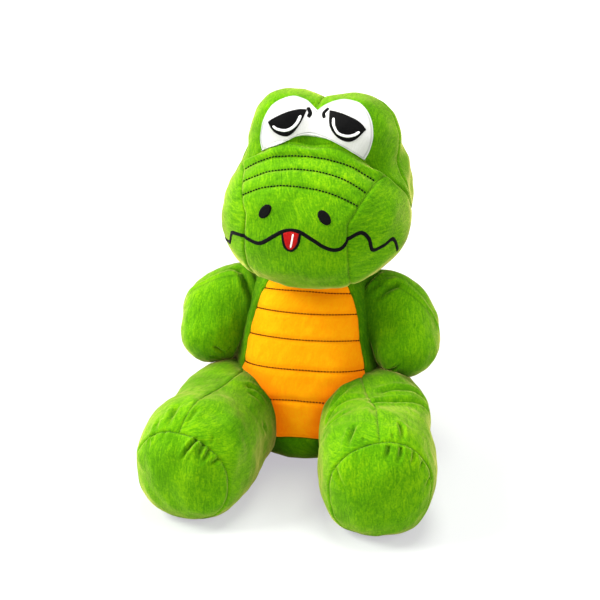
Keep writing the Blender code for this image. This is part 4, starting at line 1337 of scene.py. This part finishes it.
# The head
head = Skin(
    head_form, HEAD_CENTRE, HEAD_FRAME, head_place, LUMP, 21, "head", 0.9, HEAD_FULL,
    shape=ledge, move=head_set
)
for side in (-1, 1):
    head.sew(*along_column(THROAT_SEAM, CREASE_SEAM, 80, side))
head.sew(*along_row(CREASE_SEAM, -2, 2, 160), CREASE_DEPTH, CREASE_WIDTH)
head.sew(*along_row(CROWN_SEAM, -2, 2, 160))
head.sew(*along_column(MIDDLE_SEAM_FROM, NAPE_SEAM + 360, 120, 0))
head.sew(*along_row(NAPE_SEAM, -2, 2, 160))
head.sew(*along_row(THROAT_SEAM, -1, 1, 80))


def muzzle_line(middle, drop):
    """Where a row of stitches runs across the muzzle."""
    shares = steps(-1, 1, 70)
    half = strip_half(np.array(middle - drop)) * LINE_SHARE
    return 90 - shares * half, middle - drop * np.abs(shares) ** LINE_DROP_POWER


muzzle_lines = [muzzle_line(*line) for line in MUZZLE_LINES]
for line in muzzle_lines:
    head.seam(*line, QUILT_DEPTH, QUILT_WIDTH, "quilt")


def joined(*stretches):
    return np.concatenate([stretches[0], *(stretch[1:] for stretch in stretches[1:])])


muzzle_rows = crowded(THROAT_SEAM, CREASE_SEAM, 250, 0.4)
cheek_rows = joined(crowded(NAPE_SEAM, THROAT_SEAM, 40), muzzle_rows)
brow_rows = crowded(CREASE_SEAM, CROWN_SEAM, 60)
crown_rows = crowded(CROWN_SEAM, NAPE_SEAM + 360, 90)
crown_columns = joined(crowded(0, 1, 60), steps(1, 2, 36))
cloth("muzzle_cloth", head, muzzle_rows, crowded(-1, 1, 80), green, "muzzle_panel")
for name, side in SIDES:
    columns = side * crowded(1, 2, 60)
    cloth(f"{name}_cheek_cloth", head, cheek_rows, columns, green, f"{name}_cheek_panel", "last column")
    cloth(f"{name}_brow_cloth", head, brow_rows, side * crown_columns, green, f"{name}_brow_panel")
    cloth(f"{name}_crown_cloth", head, crown_rows, side * crown_columns, green, f"{name}_crown_panel")
cloth("head_underside_cloth", head, steps(NAPE_SEAM, THROAT_SEAM, 50), steps(-1, 1, 50), green)
wadding("head_filling", head, steps(-180, 180, 110), steps(-2, 2, 70), "head_stuffing")


def outline(*stretches):
    """One closed outline from smooth stretches that meet in corners."""
    return [point for stretch in stretches for point in smooth_line(stretch, 6)[:-1]]


# The face
patch_edge = outline(*LEFT_PATCH_EDGE, *RIGHT_PATCH_EDGE)
applique("eye_felt", head, EYE_PATCH_MIDDLE, patch_edge, FELT_LIFT, FELT_HEIGHT, felt, "eye_patch",
         260, 34, FELT_RIM, 0.3)
eyes = (
    ("left", LEFT_EYE_EDGE, LEFT_EYE_MIDDLE, LEFT_GLINT, LEFT_TICK),
    ("right", RIGHT_EYE_EDGE, RIGHT_EYE_MIDDLE, RIGHT_GLINT, RIGHT_TICK),
)
for name, edge, middle, glint, tick in eyes:
    applique(f"{name}_eye_embroidery", head, middle, outline(*edge), ON_FELT, THREAD_HEIGHT, black,
             f"{name}_eye", 140, 12)
    bead(f"{name}_eye_white", head, glint, 8, GLINT_WIDTH, GLINT_HEIGHT, GLINT_LIFT, white,
         f"{name}_eye_glint", 0.35)
    bead(f"{name}_brow_embroidery", head, tick, 8, TICK_WIDTH, THREAD_HEIGHT, ON_FELT, black,
         f"{name}_brow_stitch", 0.8)


def oval(middle, width, height, lean, count=48):
    """Points of an oval on the muzzle, leaning by an angle."""
    scale = math.degrees(1 / (HEAD_CENTRE[1] - MUZZLE[1] + MUZZLE_DEPTH / 2))
    points = []
    for turn in steps(0, 2 * math.pi, count)[:-1]:
        x, y = math.cos(turn) * width / 2 * scale, math.sin(turn) * height / 2 * scale
        c, s = math.cos(math.radians(lean)), math.sin(math.radians(lean))
        points.append(np.array((middle[0] + x * c - y * s, middle[1] + x * s + y * c)))
    return points


for name, side in SIDES:
    middle = (side * NOSTRIL_AT[0], NOSTRIL_AT[1])
    edge = oval(middle, NOSTRIL_WIDTH, NOSTRIL_HEIGHT, side * NOSTRIL_LEAN)
    applique(f"{name}_nostril_embroidery", head, middle, edge, NOSTRIL_LIFT, THREAD_HEIGHT, black,
             f"{name}_nostril", 60, 8)
for number, line in enumerate(muzzle_lines, 1):
    stitched(f"muzzle_stitches_{number}", head, *line, DASH_LIFT, black, DASHES, f"muzzle_stitching_{number}")
bead("mouth_embroidery", head, MOUTH_LINE, 10, MOUTH_WIDTH, MOUTH_HEIGHT, 0.0, black,
     "mouth_stitching", 0.6, 9)
applique("tongue_embroidery", head, TONGUE_MIDDLE, outline(TONGUE_TOP, TONGUE_UNDER), 0.0, TONGUE_HEIGHT,
         red, "tongue", 80, 8)
bead("tongue_outline", head, TONGUE_UNDER, 8, TONGUE_LINE_WIDTH, MOUTH_HEIGHT, TONGUE_LINE_LIFT, black,
     None, 0.8, 9)
bead("tongue_mark_embroidery", head, TONGUE_MARK, 6, TONGUE_MARK_WIDTH, TONGUE_MARK_HEIGHT,
     TONGUE_MARK_LIFT, white, "tongue_mark", 0.8)

# The arms
arms = (("left", 1, LEFT_ARM_FOLDS, LEFT_ARM_FULL), ("right", -1, RIGHT_ARM_FOLDS, RIGHT_ARM_FULL))
arm_shaded_by = (whole_torso, whole_leg)
for name, side, folds, full in arms:
    place = sided(side)
    bend = ("torso", f"{name}_arm", place(SHOULDER + ARM_BEND_FROM), place(SHOULDER + ARM_BEND_TO))
    arm = Skin(
        arm_form, ARM_CENTRE, ARM_FRAME, arm_place, LUMP, 31 + side, bend, 0.7, full, arm_shaded_by, side=side
    )
    arm.sew(*along_row(ARM_SEAM, 0, 360, 180), WELT, SEAM_WIDTH, "welt")
    for fold in folds:
        arm.fold(*fold)
    panels = (
        ("front", crowded(0, ARM_SEAM, 90), "first row"),
        ("back", crowded(ARM_SEAM, 180, 70), "last row"),
    )
    for title, rows, pole in panels:
        called = f"{name}_arm_{title}"
        cloth(f"{called}_cloth", arm, rows, steps(0, 360, 200), green, called, pole)
    rows, columns = steps(0, 180, 40), steps(0, 360, 70)
    wadding(f"{name}_arm_filling", arm, rows, columns, f"{name}_arm_stuffing", plain_place)

# The legs
legs = (("left", 1, LEFT_LEG_FOLDS, LEFT_LEG_FULL), ("right", -1, RIGHT_LEG_FOLDS, RIGHT_LEG_FULL))
leg_shaded_by = (whole_torso, arm_form)
for name, side, folds, full in legs:
    on_leg, place = leg_place(side), sided(side)
    start = HIP + foot_way * LEG_BEND_FROM
    bend = ("torso", f"{name}_leg", place(start), place(start + foot_way * LEG_BEND_LENGTH))
    leg = Skin(
        leg_form, LEG_CENTRE, LEG_FRAME, on_leg, LEG_LUMP, 41 + side, bend, 0.8, full, leg_shaded_by,
        off=arm_form, side=side
    )
    sole_line = on_leg(*along_row(SOLE_SEAM, 0, 360, 180))
    seam_rows = evenly(SOLE_SEAM, LEG_OPENING, 60, LEG_STRETCH)
    top_line = on_leg(seam_rows, np.zeros(61))
    leg.seam(*sole_line)
    leg.seam(*top_line)
    leg.sew(seam_rows, np.full(61, 180.0))
    for fold in folds:
        leg.fold(*fold)
    leg_rows = evenly(SOLE_SEAM, LEG_CLOSED, 160, LEG_STRETCH, crowded)
    panels = (
        ("leg_outer", leg_rows, crowded(0, 180, 140), None),
        ("leg_inner", leg_rows, crowded(180, 360, 140), None),
        ("sole", crowded(0, SOLE_SEAM, 70), steps(0, 360, 320), "first row"),
    )
    for title, rows, columns, pole in panels:
        cloth(f"{name}_{title}_cloth", leg, rows, columns, green, f"{name}_{title}", pole)
    rows = joined(steps(0, SOLE_SEAM, 14), evenly(SOLE_SEAM, 180, 40, LEG_STRETCH))
    wadding(f"{name}_leg_filling", leg, rows, steps(0, 360, 80), f"{name}_leg_stuffing")
    for title, line in (("sole", sole_line), ("top", top_line)):
        stitched(f"{name}_{title}_seam_dots", leg, *line, DOT_LIFT, seam_thread, DOTS)

# The tail
bend = ("torso", "tail", TAIL + TAIL_BEND_FROM, TAIL + TAIL_BEND_TO)
tail = Skin(tail_form, TAIL_CENTRE, TAIL_FRAME, plain_place, TAIL_LUMP, 51, bend, 0.7)
tail_rows = evenly(0, TAIL_OPENING, 50, TAIL_STRETCH)
for around in (0.0, 180.0):
    tail.seam(evenly(0, TAIL_OPENING, 60, TAIL_STRETCH), np.full(61, around))
for name, columns in (("right", crowded(0, 180, 60)), ("left", crowded(180, 360, 60))):
    cloth(f"tail_{name}_cloth", tail, tail_rows, columns, green, f"tail_{name}")
wadding("tail_filling", tail, evenly(0, 180, 30, TAIL_STRETCH), steps(0, 360, 50), "tail_stuffing")


def for_camera(tree, other, seen, output):
    """What the camera sees, and what the other rays meet."""
    choose = tree.nodes.new("ShaderNodeMixShader")
    rays = tree.nodes.new("ShaderNodeLightPath")
    tree.links.new(rays.outputs["Is Camera Ray"], choose.inputs["Fac"])
    tree.links.new(other.outputs[0], choose.inputs[1])
    tree.links.new(seen.outputs[0], choose.inputs[2])
    tree.links.new(choose.outputs[0], output.inputs["Surface"])


# The floor, the light and the camera
FLOOR = 6.0
FLOOR_BELOW = 0.0004
FLOOR_COLOUR = (0.375, 0.396, 0.365)
FLOOR_GLOW = (0.50, 0.474, 0.515)
FLOOR_FADE = (0.15, 0.40)
CARD_COLOUR = (0.8, 0.8, 0.8)
WORLD_LIGHT = 0.27
floor_data = bpy.data.meshes.new("floor")
floor_corners = [(x * FLOOR, y * FLOOR, -FLOOR_BELOW) for x, y in ((-1, -1), (1, -1), (1, 1), (-1, 1))]
floor_data.from_pydata(floor_corners, [], [(0, 1, 2, 3)])
in_scene("floor", floor_data)
pale = bpy.data.materials.new("pale floor")
pale.use_nodes = True
tree = pale.node_tree
shader = tree.nodes["Principled BSDF"]
give(shader, Base_Color=(*FLOOR_COLOUR, 1), Roughness=0.9, Specular_IOR_Level=0.1)
glow = tree.nodes.new("ShaderNodeEmission")
both = tree.nodes.new("ShaderNodeAddShader")
rays = tree.nodes.new("ShaderNodeLightPath")
nodes = Nodes(pale)
away = tree.nodes.new("ShaderNodeVectorMath")
away.operation = "LENGTH"
tree.links.new(nodes.coordinates.outputs["Object"], away.inputs[0])
far = nodes.math("MULTIPLY", away.outputs["Value"], 0.5)
fade = ((FLOOR_FADE[0], FLOOR_GLOW), (FLOOR_FADE[1], WHITE))
tree.links.new(nodes.ramp(far, fade), glow.inputs["Color"])
tree.links.new(rays.outputs["Is Camera Ray"], glow.inputs["Strength"])
tree.links.new(shader.outputs[0], both.inputs[0])
tree.links.new(glow.outputs[0], both.inputs[1])
white_card = tree.nodes.new("ShaderNodeBsdfDiffuse")
give(white_card, Color=(*CARD_COLOUR, 1))
for_camera(tree, white_card, both, tree.nodes["Material Output"])
floor_data.materials.append(pale)

world = bpy.data.worlds.new("studio")
bpy.context.scene.world = world
world.use_nodes = True
tree = world.node_tree
background = tree.nodes["Background"]
give(background, Color=(1, 1, 1, 1), Strength=WORLD_LIGHT)
white_behind = tree.nodes.new("ShaderNodeBackground")
give(white_behind, Color=(1, 1, 1, 1), Strength=1.0)
for_camera(tree, background, white_behind, tree.nodes["World Output"])


# Each lamp: its place, what it points at, its width, its power and its colour
LAMPS = {
    "key softbox": ((-1.30, -0.40, 1.15), (0, -0.03, 0.12), 0.8, 38.0, WHITE),
    "rim softbox": ((-1.25, 0.50, 0.85), (0, -0.03, 0.14), 0.8, 10.0, (1, 0.95, 0.75)),
    "fill softbox": ((1.35, -0.50, 1.05), (0, -0.03, 0.12), 1.2, 11.0, WHITE),
    "top softbox": ((0.15, 0.1, 1.7), (0, 0, 0.2), 0.9, 25.0, WHITE),
    "front softbox": ((0.1, -1.7, 0.4), (0, -0.03, 0.12), 1.0, 2.5, WHITE),
}
for name, (place, aim, size, power, colour) in LAMPS.items():
    data = bpy.data.lights.new(name, "AREA")
    data.shape = "DISK"
    data.size = size
    data.energy = power
    data.color = colour
    made = in_scene(name, data)
    made.location = place
    made.rotation_euler = (Vector(aim) - Vector(place)).to_track_quat("-Z", "Y").to_euler()

camera_data = bpy.data.cameras.new("camera")
camera_data.lens = CAMERA_LENS
camera_data.sensor_width = CAMERA_FILM
camera_data.shift_x, camera_data.shift_y = CAMERA_SHIFT
camera_data.clip_start, camera_data.clip_end = CAMERA_CLIP
camera = in_scene("camera", camera_data)
turn, rise = math.radians(CAMERA_TURN), math.radians(CAMERA_RISE)
away = Vector((math.sin(turn) * math.cos(rise), -math.cos(turn) * math.cos(rise), math.sin(rise)))
camera.location = Vector(CAMERA_AIM) + away * CAMERA_AWAY
camera.rotation_euler = (-away).to_track_quat("-Z", "Y").to_euler()
bpy.context.scene.camera = camera
bpy.context.scene.view_settings.view_transform = "Standard"
